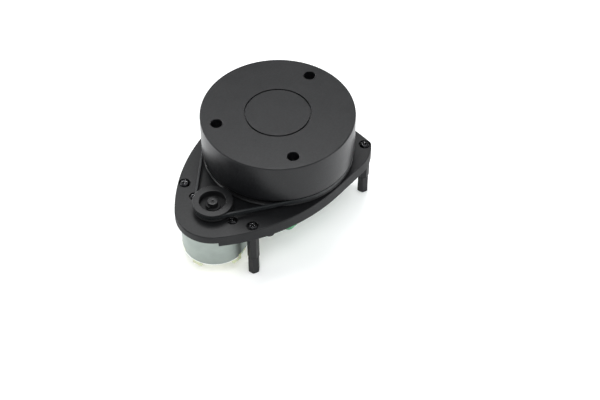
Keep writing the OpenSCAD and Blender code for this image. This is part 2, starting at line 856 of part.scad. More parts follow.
module slip_ring_body() {
    color(dark_plastic) at_scan() difference() {
        union() {
            rod(housing_r - 0.3, slip_z, slip_z + slip_flange_h);
            rod(slip_r, slip_z, slip_top);
        }
        rod(slip_r - slip_wall, slip_z + slip_floor, slip_top - slip_wall);
        rod(slip_mouth_r, slip_top - 2 * slip_wall, slip_top + eps);
        at_each(slip_screw_places) rod(slip_screw_d / 2 + 0.25, slip_z - eps, slip_z + slip_flange_h + eps);
    }
}

module slip_ring_screws() {
    color(steel) at_scan() at_each(slip_screw_places) translate([0, 0, slip_z])
        rotate([180, 0, 0]) cross_screw(slip_screw_d, 2.4, 0.9, 4);
}

module slip_ring_brushes() {
    color(gold) at_scan() for (i = [0:contact_count - 1], s = [-1, 1])
        translate([s * (contact_r + brush_gap + brush_t / 2), 0, contact_z + (i + 0.3) * contact_pitch])
            cube([brush_t, brush_l, brush_t], center = true);
}

module slip_ring_rotor() {
    color(dark_plastic) at_scan() difference() {
        union() {
            rod(rotor_r, contact_z - 1.2, deck_z + eps);
            rod(rotor_flange_r, deck_z, deck_z + rotor_flange_t);
            rod(contact_r, deck_z + 1, ranging_z - 0.3);
        }
        at_each_contact() tube(rotor_r + eps, contact_seat_r, 0, contact_t);
    }
}

module slip_ring_contacts() {
    color(gold) at_scan() at_each_contact() tube(contact_r, contact_seat_r, 0, contact_t);
}

module at_each_contact() {
    for (i = [0:contact_count - 1]) translate([0, 0, contact_z + i * contact_pitch]) children();
}

// Thin lead that rises from z_start at one radius, arches over at z and comes down to z_end at another
module arched_lead(r_start, r_end, z_start, z_end, z) {
    translate([r_start, 0, 0]) rod(thin_lead_d / 2, z_start, z);
    translate([r_end, 0, 0]) rod(thin_lead_d / 2, z_end, z);
    translate([(r_start + r_end) / 2, 0, z]) rotate([90, 0, 0]) rotate_extrude(angle = 180, $fn = 48)
        translate([(r_end - r_start) / 2, 0]) circle(d = thin_lead_d, $fn = 16);
}

module slip_ring_head_leads() {
    color("firebrick") at_head() for (a = head_lead_angles) rotate([0, 0, a])
        arched_lead(1.5, 7, ranging_z - 0.3, ranging_top, ranging_top + 1);
}

module slip_ring_base_leads() {
    color("firebrick") at_scan() for (a = base_lead_angles) rotate([0, 0, a]) mirror([0, 0, 1])
        arched_lead(11, 18, -slip_z, -board_z, 0.5 - slip_z);
}

// ---------------------------------------------------------------- scan head

module head_cap() {
    color(black_plastic) at_head() difference() {
        union() {
            rotate_extrude($fn = 180) polygon([
                [0, cap_under], [cap_r - cap_wall, cap_under], [cap_r - cap_wall, cap_z], [cap_r, cap_z],
                [cap_r, head_top - cap_edge], [cap_r - cap_edge, head_top], [0, head_top]
            ]);
            for (a = cap_hole_angles) rotate([0, 0, a]) translate([cap_hole_reach, 0, 0])
                rod(tube_r, tube_floor - tube_floor_t, cap_under + eps);
        }
        for (a = cap_hole_angles) rotate([0, 0, a]) translate([cap_hole_reach, 0, 0]) {
            rod(cap_hole_d / 2, tube_floor, head_top + eps);
            rod(tube_clear_r, tube_floor - tube_floor_t - eps, tube_floor + eps);
        }
        tube(badge_r + badge_groove_half, badge_r - badge_groove_half,
            head_top - badge_groove_h, head_top + eps);
        window(laser_y - 0.2, 12.4, 12.4, 3);
        window(receiver_y + 0.5, 17, 15, 3);
    }
}

// Opening in the cap's wall in front of the optics
module window(y, w, h, r) {
    translate([bracket_front + 1, y, optics_z]) rotate([90, 0, 90]) linear_extrude(cap_r) round_rect(w, h, r);
}

module turntable() {
    color(dark_plastic) at_head() difference() {
        union() {
            rotate_extrude($fn = 180) polygon([
                [hub_bore_r, hub_z], [hub_r, hub_z], [hub_r, bearing_top],
                [hub_r + hub_shoulder, bearing_top], [hub_r + hub_shoulder, deck_under], [web_r, deck_under],
                [cone_r, flange_z], [flange_r, flange_z], [flange_r, groove_z],
                [groove_r, groove_z], [groove_r, skirt_top], [skirt_r, skirt_top],
                [skirt_r, cap_z], [spigot_r, cap_z], [spigot_r, deck_z],
                [hub_bore_r, deck_z]
            ]);
            for (a = cap_hole_angles) rotate([0, 0, a]) translate([cap_hole_reach, 0, 0])
                rod(pillar_r, deck_z - eps, tube_floor - tube_floor_t);
            at_each(ranging_screw_places) rod(post_r, deck_z - eps, ranging_z);
        }
        tube(hub_r + clip_out, hub_r - clip_in - fit_gap, clip_z, bearing_z);
        for (a = cap_hole_angles) rotate([0, 0, a]) translate([cap_hole_reach, 0, 0])
            rod(pillar_bore_r, deck_z + 2, tube_floor);
        at_each(ranging_screw_places) rod(small_pilot_r, deck_z + 1, ranging_z + eps);
        at_each(bracket_screw_places) rod(small_pilot_r, deck_under + pilot_cover, deck_z + eps);
    }
}

module head_screws() {
    color(steel) at_head() for (a = cap_hole_angles) rotate([0, 0, a])
        translate([cap_hole_reach, 0, tube_floor]) cross_screw(2, 4.4, 1.5, 7);
}

module ranging_board() {
    color(board_green) at_head() difference() {
        rod(ranging_r, ranging_z, ranging_top);
        block([ranging_front, -cap_r, ranging_z - eps], [cap_r, cap_r, ranging_top + eps]);
        for (a = cap_hole_angles) rotate([0, 0, a]) translate([cap_hole_reach, 0, 0])
            rod(ranging_cutout_r, ranging_z - eps, ranging_top + eps);
        at_each(ranging_screw_places) rod(small_screw_d / 2 + 0.35, ranging_z - eps, ranging_top + eps);
        rod(ranging_centre_r, ranging_z - eps, ranging_top + eps);
    }
}

module ranging_chips() {
    color(chip_black) at_head() part_boxes(ranging_chip_boxes, ranging_top);
}

module ranging_parts() {
    color(steel) at_head() {
        translate(ranging_capacitor) rod(ranging_capacitor_r, ranging_top, ranging_top + ranging_capacitor_h);
        part_boxes(ranging_part_boxes, ranging_top);
    }
}

module ranging_board_screws() {
    color(steel) at_head() at_each(ranging_screw_places) translate([0, 0, ranging_top])
        cross_screw(small_screw_d, small_head_d, small_head_h, 4.5);
}

module optics_bracket() {
    color(dark_plastic) at_head() difference() {
        union() {
            block([bracket_back, -20, deck_z], [bracket_front, 21.5, deck_z + bracket_foot_h]);
            block([bracket_back, laser_y - 6, deck_z], [bracket_front, laser_y + 6, optics_z + 6]);
            block([bracket_back, bracket_low_y, deck_z], [bracket_front, bracket_high_y, cap_under - 0.3]);
        }
        translate([0, laser_y, optics_z]) rotate([0, 90, 0]) cylinder(r = laser_r + fit_gap, h = cap_r);
        translate([0, receiver_y, optics_z]) rotate([0, 90, 0]) cylinder(r = receiver_r + fit_gap, h = cap_r);
        at_each(bracket_screw_places)
            rod(small_screw_d / 2 + 0.15, deck_z - eps, deck_z + bracket_foot_h + eps);
    }
}

module bracket_screws() {
    color(steel) at_head() at_each(bracket_screw_places) translate([0, 0, deck_z + bracket_foot_h])
        cross_screw(small_screw_d, small_head_d, small_head_h, 3.8);
}

// Piece turned about an optical axis, which points away from the scan axis
module on_optical_axis(y) {
    at_head() translate([0, y, optics_z]) rotate([0, 90, 0]) children();
}

module laser_barrel() {
    color(brass) on_optical_axis(laser_y) difference() {
        rod(laser_r, bracket_back + 1, laser_front);
        rod(diode_r + fit_gap, bracket_back, bracket_back + 3.5);
        rod(laser_bore_r, bracket_back + 3, laser_front + eps);
        rod(laser_lens_r + 0.05, lens_seat, laser_front + eps);
    }
}

module laser_diode() {
    color(gold) on_optical_axis(laser_y) {
        rod(diode_r, bracket_back + 1.2, bracket_back + 2.4);
        rod(1.7, bracket_back + 2.2, bracket_back + 4.4);
        for (a = [0, 120, 240]) rotate([0, 0, a]) translate([1.2, 0, 0])
            rod(0.22, bracket_back - 2.5, bracket_back + 1.3, $fn = 16);
    }
}

module lens(r, z, bulge) {
    ball_r = (r * r + bulge * bulge) / (2 * bulge);
    intersection() {
        translate([0, 0, z + bulge - ball_r]) sphere(r = ball_r);
        translate([0, 0, z - lens_edge]) cylinder(r = r, h = lens_edge + 2 * bulge);
    }
}

module laser_lens() {
    color(lens_glass) on_optical_axis(laser_y) lens(laser_lens_r, lens_seat + 1.4, 0.6);
}

module receiver_barrel() {
    color(dark_plastic) on_optical_axis(receiver_y) difference() {
        rod(receiver_r, bracket_back + 4, receiver_front);
        rod(receiver_bore_r, bracket_back + 3, lens_seat + eps);
        rod(receiver_lens_r + 0.05, lens_seat, receiver_front + eps);
    }
}

module receiver_lens() {
    color(lens_glass) on_optical_axis(receiver_y) lens(receiver_lens_r, lens_seat + 1.5, 1.4);
}

module sensor_board() {
    color(board_green) at_head()
        block([sensor_board_x, bracket_low_y, deck_z + 1], [bracket_back, bracket_high_y, cap_under - 0.5]);
}

module image_sensor() {
    color(chip_black) at_head()
        translate([bracket_back, receiver_y, optics_z]) block([0, -4.5, -2.5], [1.4, 4.5, 2.5]);
}

module sensor_header() {
    color(chip_black) at_head()
        translate([0, receiver_y, ranging_top]) block([ranging_front - 3, -6, 0], [sensor_board_x, 6, 2.5]);
}

// ---------------------------------------------------------------- assembly

base_plate();
lower_standoffs();
upper_standoffs();
corner_screws();
motor_screws();
control_board();
control_chips();
control_parts();
control_board_screws();
data_socket();
control_socket();
motor_socket();
socket_pins();
motor_plug();
motor_lead_red();
motor_lead_black();
motor_can();
motor_magnets();
motor_end_cap();
motor_brushes();
motor_terminals();
motor_upper_bush();
motor_lower_bush();
bearing_outer_race();
slip_ring_body();
slip_ring_brushes();
slip_ring_screws();
slip_ring_base_leads();
drive_belt();
bearing_balls();
bearing_cage();
head_cap();
turntable();
head_screws();
bearing_inner_race();
retaining_ring();
slip_ring_rotor();
slip_ring_contacts();
slip_ring_head_leads();
ranging_board();
ranging_chips();
ranging_parts();
ranging_board_screws();
optics_bracket();
bracket_screws();
laser_barrel();
laser_diode();
laser_lens();
receiver_barrel();
receiver_lens();
sensor_board();
image_sensor();
sensor_header();
drive_pulley();
motor_shaft();
motor_armature();
motor_windings();
motor_commutator();
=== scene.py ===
import math
import random

import bmesh
import bpy
from mathutils import Matrix, Vector


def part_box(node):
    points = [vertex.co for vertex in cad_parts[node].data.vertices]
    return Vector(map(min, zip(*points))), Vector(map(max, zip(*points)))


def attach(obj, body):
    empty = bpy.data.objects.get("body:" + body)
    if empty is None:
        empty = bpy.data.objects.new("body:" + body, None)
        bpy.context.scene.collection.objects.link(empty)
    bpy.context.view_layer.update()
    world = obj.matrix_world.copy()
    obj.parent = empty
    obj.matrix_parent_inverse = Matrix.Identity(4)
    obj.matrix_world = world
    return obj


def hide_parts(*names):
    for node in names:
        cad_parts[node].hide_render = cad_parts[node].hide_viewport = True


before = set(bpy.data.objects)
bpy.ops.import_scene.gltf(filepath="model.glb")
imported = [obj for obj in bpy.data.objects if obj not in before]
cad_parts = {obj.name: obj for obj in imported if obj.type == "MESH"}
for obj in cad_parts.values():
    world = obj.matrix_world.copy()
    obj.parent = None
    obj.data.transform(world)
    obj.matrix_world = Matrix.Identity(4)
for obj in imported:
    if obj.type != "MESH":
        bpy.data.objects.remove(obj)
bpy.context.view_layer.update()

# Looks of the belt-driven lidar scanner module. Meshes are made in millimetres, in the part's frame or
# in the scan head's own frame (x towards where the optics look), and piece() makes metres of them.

MM = 0.001


# ---- places and sizes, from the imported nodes

def corners(node):
    """Lowest and highest corner of a CAD node, in millimetres."""
    low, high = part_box(node)
    return low / MM, high / MM


CAP_LOW, CAP_HIGH = corners("head_cap")
PLATE_LOW, PLATE_HIGH = corners("base_plate")
PULLEY_LOW, PULLEY_HIGH = corners("drive_pulley")
CAN_LOW, CAN_HIGH = corners("motor_can")
BELT_LOW, BELT_HIGH = corners("drive_belt")
TABLE_LOW = corners("turntable")[0]
BOARD_LOW, BOARD_HIGH = corners("control_board")

SCAN_X = (CAP_LOW.x + CAP_HIGH.x) / 2
MOTOR_X = (PULLEY_LOW.x + PULLEY_HIGH.x) / 2
AXIS_GAP = MOTOR_X - SCAN_X
OPTICS_YAW = 188.7
WELL_ANGLES = (0, 135, 225)
WELL_REACH = 28.0
WELL_FLOOR = 11.0
NOTCH_ANGLES = (98, 326)
TAB_ANGLES = (7, 84, 187, 264)

PLATE_TOP = PLATE_HIGH.z
PLATE_UNDER = CAN_HIGH.z - 1.8
RIM_Z = PLATE_TOP - 6.2
RIM_WALL = 2.0
HALF_W = PLATE_HIGH.y
FRONT_R = PLATE_HIGH.x - MOTOR_X
REAR_REACH = SCAN_X - PLATE_LOW.x
CORNER_R = 3.1
SHOULDER_R = 20.0

CAP_Z = CAP_LOW.z
HEAD_TOP = CAP_HIGH.z
CAP_R = (CAP_HIGH.x - CAP_LOW.x) / 2
CAP_WALL = 2.0
CAP_UNDER = HEAD_TOP - CAP_WALL
OPTICS_Z = CAP_Z + 10.4
DECK_Z = CAP_Z + 1.0

HERE = Matrix()
SCAN = Matrix.Translation((SCAN_X, 0, 0))
HEAD = SCAN @ Matrix.Rotation(math.radians(OPTICS_YAW), 4, "Z")
MOTOR = Matrix.Translation((MOTOR_X, 0, 0))


# ---- mesh tools

def arc(centre, radius, start, end, steps):
    """Points on an arc between two angles in degrees, both ends included."""
    angles = [math.radians(start + (end - start) * i / steps) for i in range(steps + 1)]
    return [(centre[0] + radius * math.cos(a), centre[1] + radius * math.sin(a)) for a in angles]


def rounded(corner_list, steps=4, closed=True):
    """Outline through corners given as (x, y, radius), each corner rounded by its own radius."""
    points = []
    count = len(corner_list)
    for i, (x, y, radius) in enumerate(corner_list):
        here = Vector((x, y))
        if radius == 0 or (not closed and i in (0, count - 1)):
            points.append((x, y))
            continue
        before = (Vector(corner_list[i - 1][:2]) - here).normalized()
        after = (Vector(corner_list[(i + 1) % count][:2]) - here).normalized()
        half = before.angle(after) / 2
        centre = here + (before + after).normalized() * (radius / math.sin(half))
        start = here + before * (radius / math.tan(half)) - centre
        end = here + after * (radius / math.tan(half)) - centre
        swing = start.angle_signed(end)
        for k in range(steps + 1):
            spoke = start.copy()
            spoke.rotate(Matrix.Rotation(-swing * k / steps, 2))
            points.append(tuple(centre + spoke))
    return points


def loft(rings, around=False):
    """Skin over rings of points with equal counts; its ends are capped, or joined to each other."""
    bm = bmesh.new()
    rows = [[bm.verts.new(p) for p in ring] for ring in rings]
    pairs = list(zip(rows, rows[1:])) + ([(rows[-1], rows[0])] if around else [])
    for a, b in pairs:
        for i in range(len(a)):
            j = (i + 1) % len(a)
            bm.faces.new((a[i], a[j], b[j], b[i]))
    if not around:
        bm.faces.new(rows[0][::-1])
        bm.faces.new(rows[-1])
    bmesh.ops.recalc_face_normals(bm, faces=bm.faces)
    return bm


def lathe(outline, steps=96):
    """Solid turned about Z from a closed outline of (radius, height) points."""
    bm = bmesh.new()
    rings = []
    for radius, z in outline:
        spokes = 1 if radius < 1e-5 else steps
        angles = [2 * math.pi * i / steps for i in range(spokes)]
        rings.append([bm.verts.new((radius * math.cos(a), radius * math.sin(a), z)) for a in angles])
    for a, b in zip(rings, rings[1:] + rings[:1]):
        if len(a) == 1 and len(b) == 1:
            continue
        for i in range(steps):
            j = (i + 1) % steps
            around = [a[i % len(a)], a[j % len(a)], b[j % len(b)], b[i % len(b)]]
            bm.faces.new(list(dict.fromkeys(around)))
    bmesh.ops.recalc_face_normals(bm, faces=bm.faces)
    return bm


def rod(radius, low, high, edge=0.0, steps=64):
    """Upright round bar with rounded edges."""
    return lathe(rounded([(0, low, 0), (radius, low, edge), (radius, high, edge), (0, high, 0)]), steps)


def ring(outer, inner, low, high, steps=96):
    """Upright tube."""
    return lathe([(inner, low), (outer, low), (outer, high), (inner, high)], steps)


def prism(outline, low, high):
    """Upright bar with any outline."""
    return loft([[(x, y, z) for x, y in outline] for z in (low, high)])


def block(low, high, edge=0.0):
    """Box between two corners, with rounded edges."""
    low, high = Vector(low), Vector(high)
    outline = [(low.x, low.y), (high.x, low.y), (high.x, high.y), (low.x, high.y)]
    bm = prism(outline, low.z, high.z)
    return soften(bm, edge) if edge else bm


def rectangle(width, height, radius, centre=(0, 0)):
    """Outline of a rounded rectangle."""
    x, y = width / 2, height / 2
    sides = [(-x, -y), (x, -y), (x, y), (-x, y)]
    return rounded([(centre[0] + a, centre[1] + b, radius) for a, b in sides], 6)


def moved(bm, matrix):
    """The mesh after a move or turn."""
    bm.transform(matrix)
    return bm


def at(bm, x, y, z=0.0, turn=0.0):
    """The mesh turned about Z in degrees and carried to a place."""
    return moved(bm, Matrix.Translation((x, y, z)) @ Matrix.Rotation(math.radians(turn), 4, "Z"))


def rods(places, *size):
    """Upright round bars of one size at several (x, y) places."""
    return [at(rod(*size), x, y) for x, y in places]


def spoked(matrices, *size):
    """Upright round bars of one size, each carried by its own matrix."""
    return [moved(rod(*size), m) for m in matrices]


def bar(x, y, half_x, half_y, low, high, *edge):
    """Box about a middle (x, y), from one height to another."""
    return block((x - half_x, y - half_y, low), (x + half_x, y + half_y, high), *edge)


def gather(meshes):
    """One mesh out of several."""
    whole = bmesh.new()
    for bm in meshes:
        mesh = bpy.data.meshes.new("part")
        bm.to_mesh(mesh)
        bm.free()
        whole.from_mesh(mesh)
        bpy.data.meshes.remove(mesh)
    return whole


def boolean(bm, tools, operation):
    """The solid after other solids are added to it or cut out of it."""
    objects = []
    for source in (bm, gather(tools)):
        mesh = bpy.data.meshes.new("part")
        source.to_mesh(mesh)
        source.free()
        objects.append(link("part", mesh))
    body, tool = objects
    change = body.modifiers.new("change", "BOOLEAN")
    change.object = tool
    change.operation = operation
    change.solver = "EXACT"
    bpy.context.view_layer.update()
    done = bpy.data.meshes.new_from_object(body.evaluated_get(bpy.context.evaluated_depsgraph_get()))
    result = bmesh.new()
    result.from_mesh(done)
    bpy.data.meshes.remove(done)
    for o in objects:
        bpy.data.meshes.remove(o.data)
    return result


def unite(bm, *tools):
    """The solid with others added."""
    return boolean(bm, tools, "UNION")


def cut(bm, *tools):
    """The solid with others cut away."""
    return boolean(bm, tools, "DIFFERENCE")


def soften(bm, width, steps=2, angle=30.0, where=None):
    """Rounds the sharp edges, or those of them whose middle where() picks."""
    sharp = [
        e for e in bm.edges
        if len(e.link_faces) == 2 and e.calc_face_angle(0) > math.radians(angle)
        and (where is None or where((e.verts[0].co + e.verts[1].co) / 2))
    ]
    bmesh.ops.bevel(bm, geom=sharp, offset=width, segments=steps, profile=0.5, affect="EDGES",
                    clamp_overlap=True)
    return bm


def solids(node, turned=HERE):
    """Corner pairs of the separate solids in a CAD node, in millimetres, in the frame or in a turned one."""
    bm = bmesh.new()
    bm.from_mesh(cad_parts[node].data)
    bmesh.ops.remove_doubles(bm, verts=bm.verts, dist=1e-6)
    bm.transform(Matrix.Scale(1 / MM, 4))
    bm.transform(turned.inverted())
    found, left = [], set(bm.verts)
    while left:
        heap, group = [left.pop()], []
        while heap:
            v = heap.pop()
            group.append(v.co.copy())
            for e in v.link_edges:
                other = e.other_vert(v)
                if other in left:
                    left.remove(other)
                    heap.append(other)
        found.append(tuple(Vector([pick(p[i] for p in group) for i in range(3)]) for pick in (min, max)))
    bm.free()
    return sorted(found, key=lambda pair: tuple(round(v, 2) for v in pair[0]))


def middle(low, high):
    """Middle (x, y) of a box."""
    return (low.x + high.x) / 2, (low.y + high.y) / 2


def middles(node, turned=HERE):
    """Middle (x, y) of each separate solid in a CAD node."""
    return [middle(low, high) for low, high in solids(node, turned)]


def turns(angles, reach=0.0):
    """Matrices that turn about Z by each angle in degrees, after a move outwards."""
    return [Matrix.Rotation(math.radians(a), 4, "Z") @ Matrix.Translation((reach, 0, 0)) for a in angles]


def link(name, data):
    """A new object in the scene."""
    made = bpy.data.objects.new(name, data)
    bpy.context.scene.collection.objects.link(made)
    return made


def even_normals(made):
    """Shades an object's rounded edges evenly."""
    made.modifiers.new("even", "WEIGHTED_NORMAL").keep_sharp = True


def piece(name, bm, body, slot, material, *nodes, turned=HERE, smooth=32.0):
    """A finished piece from a mesh in millimetres: it rides on a body and stands for CAD nodes."""
    bm.transform(turned)
    bm.transform(Matrix.Scale(MM, 4))
    mesh = bpy.data.meshes.new(name)
    bm.to_mesh(mesh)
    bm.free()
    mesh.materials.append(material)
    mesh.shade_smooth()
    mesh.set_sharp_from_angle(angle=math.radians(smooth))
    made = link(name, mesh)
    even_normals(made)
    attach(made, body)
    if nodes:
        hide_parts(*nodes)


def look(node, bm, body, slot, material, **more):
    """A detailed piece that stands for one CAD node."""
    piece(node + "_look", bm, body, slot, material, node, **more)


def dress(node, material, edge):
    """Gives a CAD node its material, and rounds its edges a little."""
    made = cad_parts[node]
    made.data.materials.clear()
    made.data.materials.append(material)
    if edge:
        weld = made.modifiers.new("weld", "WELD")
        weld.merge_threshold = 1e-6
        bevel = made.modifiers.new("edge", "BEVEL")
        bevel.width = edge * MM
        bevel.segments = 2
        bevel.angle_limit = math.radians(35)
        even_normals(made)


# ---- materials

# Places of the colour sockets on a mix node, whose names are shared with its number sockets.
MIX_A, MIX_B, MIX_RESULT = 6, 7, 2


class Paint:
    """A procedural material around one Principled shader, with patterns in the piece's own coordinates."""

    def __init__(self, name, **uniform):
        self.material = bpy.data.materials.new(name)
        self.material.use_nodes = True
        self.tree = self.material.node_tree
        self.shader = self.tree.nodes["Principled BSDF"]
        for socket, value in uniform.items():
            self.shader.inputs[socket.replace("_", " ")].default_value = value
        self.place = self.tree.nodes.new("ShaderNodeTexCoord").outputs["Object"]

    def node(self, kind, inputs=(), **settings):
        """A new node with its settings and inputs; an input is a value or another node's output."""
        made = self.tree.nodes.new(kind)
        for key, value in settings.items():
            setattr(made, key, value)
        for key, value in dict(inputs).items():
            if isinstance(value, bpy.types.NodeSocket):
                self.tree.links.new(value, made.inputs[key])
            else:
                made.inputs[key].default_value = value
        return made

    def noise(self, size, detail=2.0, stretch=(1, 1, 1)):
        """Soft random pattern whose features are about size millimetres across."""
        spread = self.node("ShaderNodeMapping", {"Vector": self.place, "Scale": stretch})
        texture = self.node("ShaderNodeTexNoise",
                            {"Vector": spread.outputs[0], "Scale": 1 / (size * MM), "Detail": detail})
        return texture.outputs["Fac"]

    def spread(self, source, low, high, start=0.3, end=0.7):
        """A pattern's values mapped onto a range."""
        inputs = {"Value": source, "From Min": start, "From Max": end, "To Min": low, "To Max": high}
        return self.node("ShaderNodeMapRange", inputs, clamp=True).outputs[0]

    def math(self, operation, a, b=0.0):
        """Two values combined."""
        return self.node("ShaderNodeMath", {0: a, 1: b}, operation=operation).outputs[0]

    def mix(self, factor, first, second):
        """Blend of two colours, each a pattern or an (r, g, b) value."""
        first, second = ((*c, 1) if isinstance(c, tuple) else c for c in (first, second))
        inputs = {"Factor": factor, MIX_A: first, MIX_B: second}
        return self.node("ShaderNodeMix", inputs, data_type="RGBA").outputs[MIX_RESULT]

    def set(self, socket, source):
        """Drives one of the shader's sockets by a pattern."""
        self.tree.links.new(source, self.shader.inputs[socket])
        return self

    def bump(self, *layers):
        """Surface relief from (pattern, height in millimetres) layers."""
        normal = None
        for source, height in layers:
            inputs = {"Height": source, "Distance": height * MM, "Strength": 1.0}
            if normal is not None:
                inputs["Normal"] = normal
            normal = self.node("ShaderNodeBump", inputs).outputs[0]
        return self.set("Normal", normal)

    def below(self, low, high):
        """1 below one height in metres, fading to 0 at a higher one."""
        height = self.node("ShaderNodeSeparateXYZ", {"Vector": self.place}).outputs["Z"]
        return self.spread(height, 1, 0, low, high)

    def upright(self):
        """1 on upright faces, 0 on flat ones."""
        normal = self.node("ShaderNodeNewGeometry").outputs["Normal"]
        height = self.node("ShaderNodeSeparateXYZ", {"Vector": normal}).outputs["Z"]
        return self.spread(self.math("ABSOLUTE", height), 1, 0, 0.3, 0.7)

    def wear_and_glint(self, reach=0.25):
        """1 along edges that hands and tools rub, within reach millimetres of them, broken up by noise.

        It masks both rubbed wear and painted edge highlights.
        """
        bent = self.node("ShaderNodeBevel", {"Radius": reach * MM}, samples=4).outputs[0]
        flat = self.node("ShaderNodeNewGeometry").outputs["Normal"]
        dot = self.node("ShaderNodeVectorMath", {0: bent, 1: flat}, operation="DOT_PRODUCT")
        edge = self.spread(dot.outputs["Value"], 1, 0, 0.86, 0.99)
        return self.math("MULTIPLY", edge, self.spread(self.noise(2.5), 0, 1))


def moulded(name, dark, light, roughness, specular, grain=0.012, sides=0.0):
    """Fine-grained moulded plastic, a little smoother along rubbed edges, and lighter there:
    partly rubbed wear, partly painted edge highlight.

    Its upright faces are rougher or smoother than the flat ones by sides.
    """
    paint = Paint(name, Specular_IOR_Level=specular)
    mottle = paint.mix(paint.spread(paint.noise(0.7, 4), 0, 1, 0.35, 0.65), dark, light)
    # worn is the lighter edge colour: partly rubbed wear, partly painted highlight.
    worn = tuple(min(1.0, 1.6 * c + 0.012) for c in light)
    rubbed_and_glint = paint.wear_and_glint()
    paint.set("Base Color", paint.mix(paint.math("MULTIPLY", rubbed_and_glint, 0.35), mottle, worn))
    streaks = paint.spread(paint.noise(9, 3), roughness - 0.035, roughness + 0.035)
    drawn = paint.math("ADD", streaks, paint.math("MULTIPLY", paint.upright(), sides))
    paint.set("Roughness", paint.math("SUBTRACT", drawn, paint.math("MULTIPLY", rubbed_and_glint, 0.06)))
    paint.bump((paint.noise(0.45, 3), grain), (paint.noise(14, 1), 0.02))
    return paint.material


def metal(name, colour, roughness, relief=0.002, stained=None, drawn=1, cut_edge_and_highlight_z=None):
    """Plated or drawn metal with fine marks and faint stains.

    Its marks are finer by drawn in height than across. Below a given height, in metres, it is near-white:
    the bare cut edge, brightened further as a painted highlight.
    """
    paint = Paint(name, Metallic=1.0)
    stain = paint.spread(paint.noise(6, 5), 0, 1, 0.35, 0.7)
    skin = paint.mix(stain, colour, stained or tuple(c * 0.85 for c in colour))
    # Near-white below the given height: bare cut edge and painted highlight along the rim.
    if cut_edge_and_highlight_z:
        skin = paint.mix(paint.below(cut_edge_and_highlight_z - 0.1 * MM, cut_edge_and_highlight_z + 0.1 * MM), skin, (0.92, 0.95, 0.93))
    paint.set("Base Color", skin)
    lines = paint.noise(0.5, 4, (1, 1, drawn))
    paint.set("Roughness", paint.spread(lines, roughness - 0.06, roughness + 0.08, 0.3, 0.7))
    paint.bump((lines, relief), (paint.noise(3, 2), relief))
    return paint.material


def mottled(name, tone, dark, light, gloss, low, high, grain=None, **uniform):
    """Material whose colour drifts from dark to light and whose roughness drifts from low to high.

    tone and gloss are the (size, detail) of the two patterns, and grain is a bump's (size, detail, height).
    """
    paint = Paint(name, **uniform)
    paint.set("Base Color", paint.mix(paint.noise(*tone), dark, light))
    paint.set("Roughness", paint.spread(paint.noise(*gloss), low, high))
    if grain:
        paint.bump((paint.noise(*grain[:2]), grain[2]))
    return paint.material


def insulation(name, colour):
    """Soft wire sleeve with a faint shine."""
    worn = tuple(c * 0.75 for c in colour)
    return mottled(name, (1.5, 3), colour, worn, (1, 2), 0.36, 0.5, (0.8, 2, 0.01), Specular_IOR_Level=0.5)


def pulley_plastic(top):
    """Moulded plastic that is satin near the pulley's top face and coarser down in its recess."""
    paint = Paint("pulley_plastic", Specular_IOR_Level=0.28)
    inside = paint.below(top - 0.9 * MM, top - 0.5 * MM)
    mottle = paint.spread(paint.noise(0.7, 4), 0, 1, 0.35, 0.65)
    paint.set("Base Color", paint.mix(mottle, (0.0050, 0.0052, 0.0057), (0.0080, 0.0083, 0.0090)))
    satin = paint.spread(paint.noise(9, 3), 0.34, 0.40)
    paint.set("Roughness", paint.math("ADD", satin, paint.math("MULTIPLY", inside, 0.24)))
    paint.bump((paint.noise(0.28, 3), 0.008))
    return paint.material


def black_oxide():
    """Blackened screw steel: dark and half glossy, with near-white edges as painted glints."""
    paint = Paint("black_oxide", Metallic=1.0)
    rubbed_and_glint = paint.wear_and_glint(0.14)
    base = paint.mix(paint.spread(paint.noise(0.5, 3), 0, 1), (0.012, 0.012, 0.013), (0.022, 0.022, 0.024))
    # Edges painted near-white: painted glints on the screw heads.
    paint.set("Base Color", paint.mix(rubbed_and_glint, base, (0.85, 0.85, 0.86)))
    paint.set("Roughness", paint.spread(paint.noise(0.4, 3), 0.22, 0.34))
    paint.bump((paint.noise(0.2, 2), 0.004))
    return paint.material


def belt_rubber():
    """Smooth dark rubber with a faint bloom."""
    paint = Paint("belt_rubber", Specular_IOR_Level=0.32)
    bloom = paint.spread(paint.noise(4, 5), 0, 1, 0.4, 0.7)
    paint.set("Base Color", paint.mix(bloom, (0.006, 0.0075, 0.0085), (0.010, 0.012, 0.013)))
    paint.set("Roughness", paint.spread(paint.noise(2.2, 3), 0.42, 0.56))
    paint.bump((paint.noise(0.35, 2), 0.008), (paint.noise(1.4, 2, (1, 1, 4)), 0.012))
    return paint.material


def solder_mask():
    """Green lacquer over a copper pour, with buried tracks that show through a shade lighter."""
    paint = Paint("solder_mask", Coat_Weight=0.6, Coat_Roughness=0.12)
    tracks = paint.node("ShaderNodeTexBrick", {
        "Vector": paint.place, "Scale": 1 / (4.0 * MM), "Mortar Size": 0.035, "Mortar Smooth": 0.3,
        "Color1": (0, 0, 0, 1), "Color2": (0, 0, 0, 1), "Mortar": (1, 1, 1, 1)})
    patches = paint.spread(paint.noise(11, 2), 0, 1, 0.45, 0.55)
    pour = paint.mix(patches, (0.004, 0.13, 0.038), (0.007, 0.19, 0.055))
    paint.set("Base Color", paint.mix(tracks.outputs["Color"], pour, (0.02, 0.27, 0.09)))
    paint.set("Roughness", paint.spread(paint.noise(1.5, 3), 0.3, 0.42))
    paint.bump((tracks.outputs["Fac"], -0.02), (paint.noise(0.6, 2), 0.006))
    return paint.material


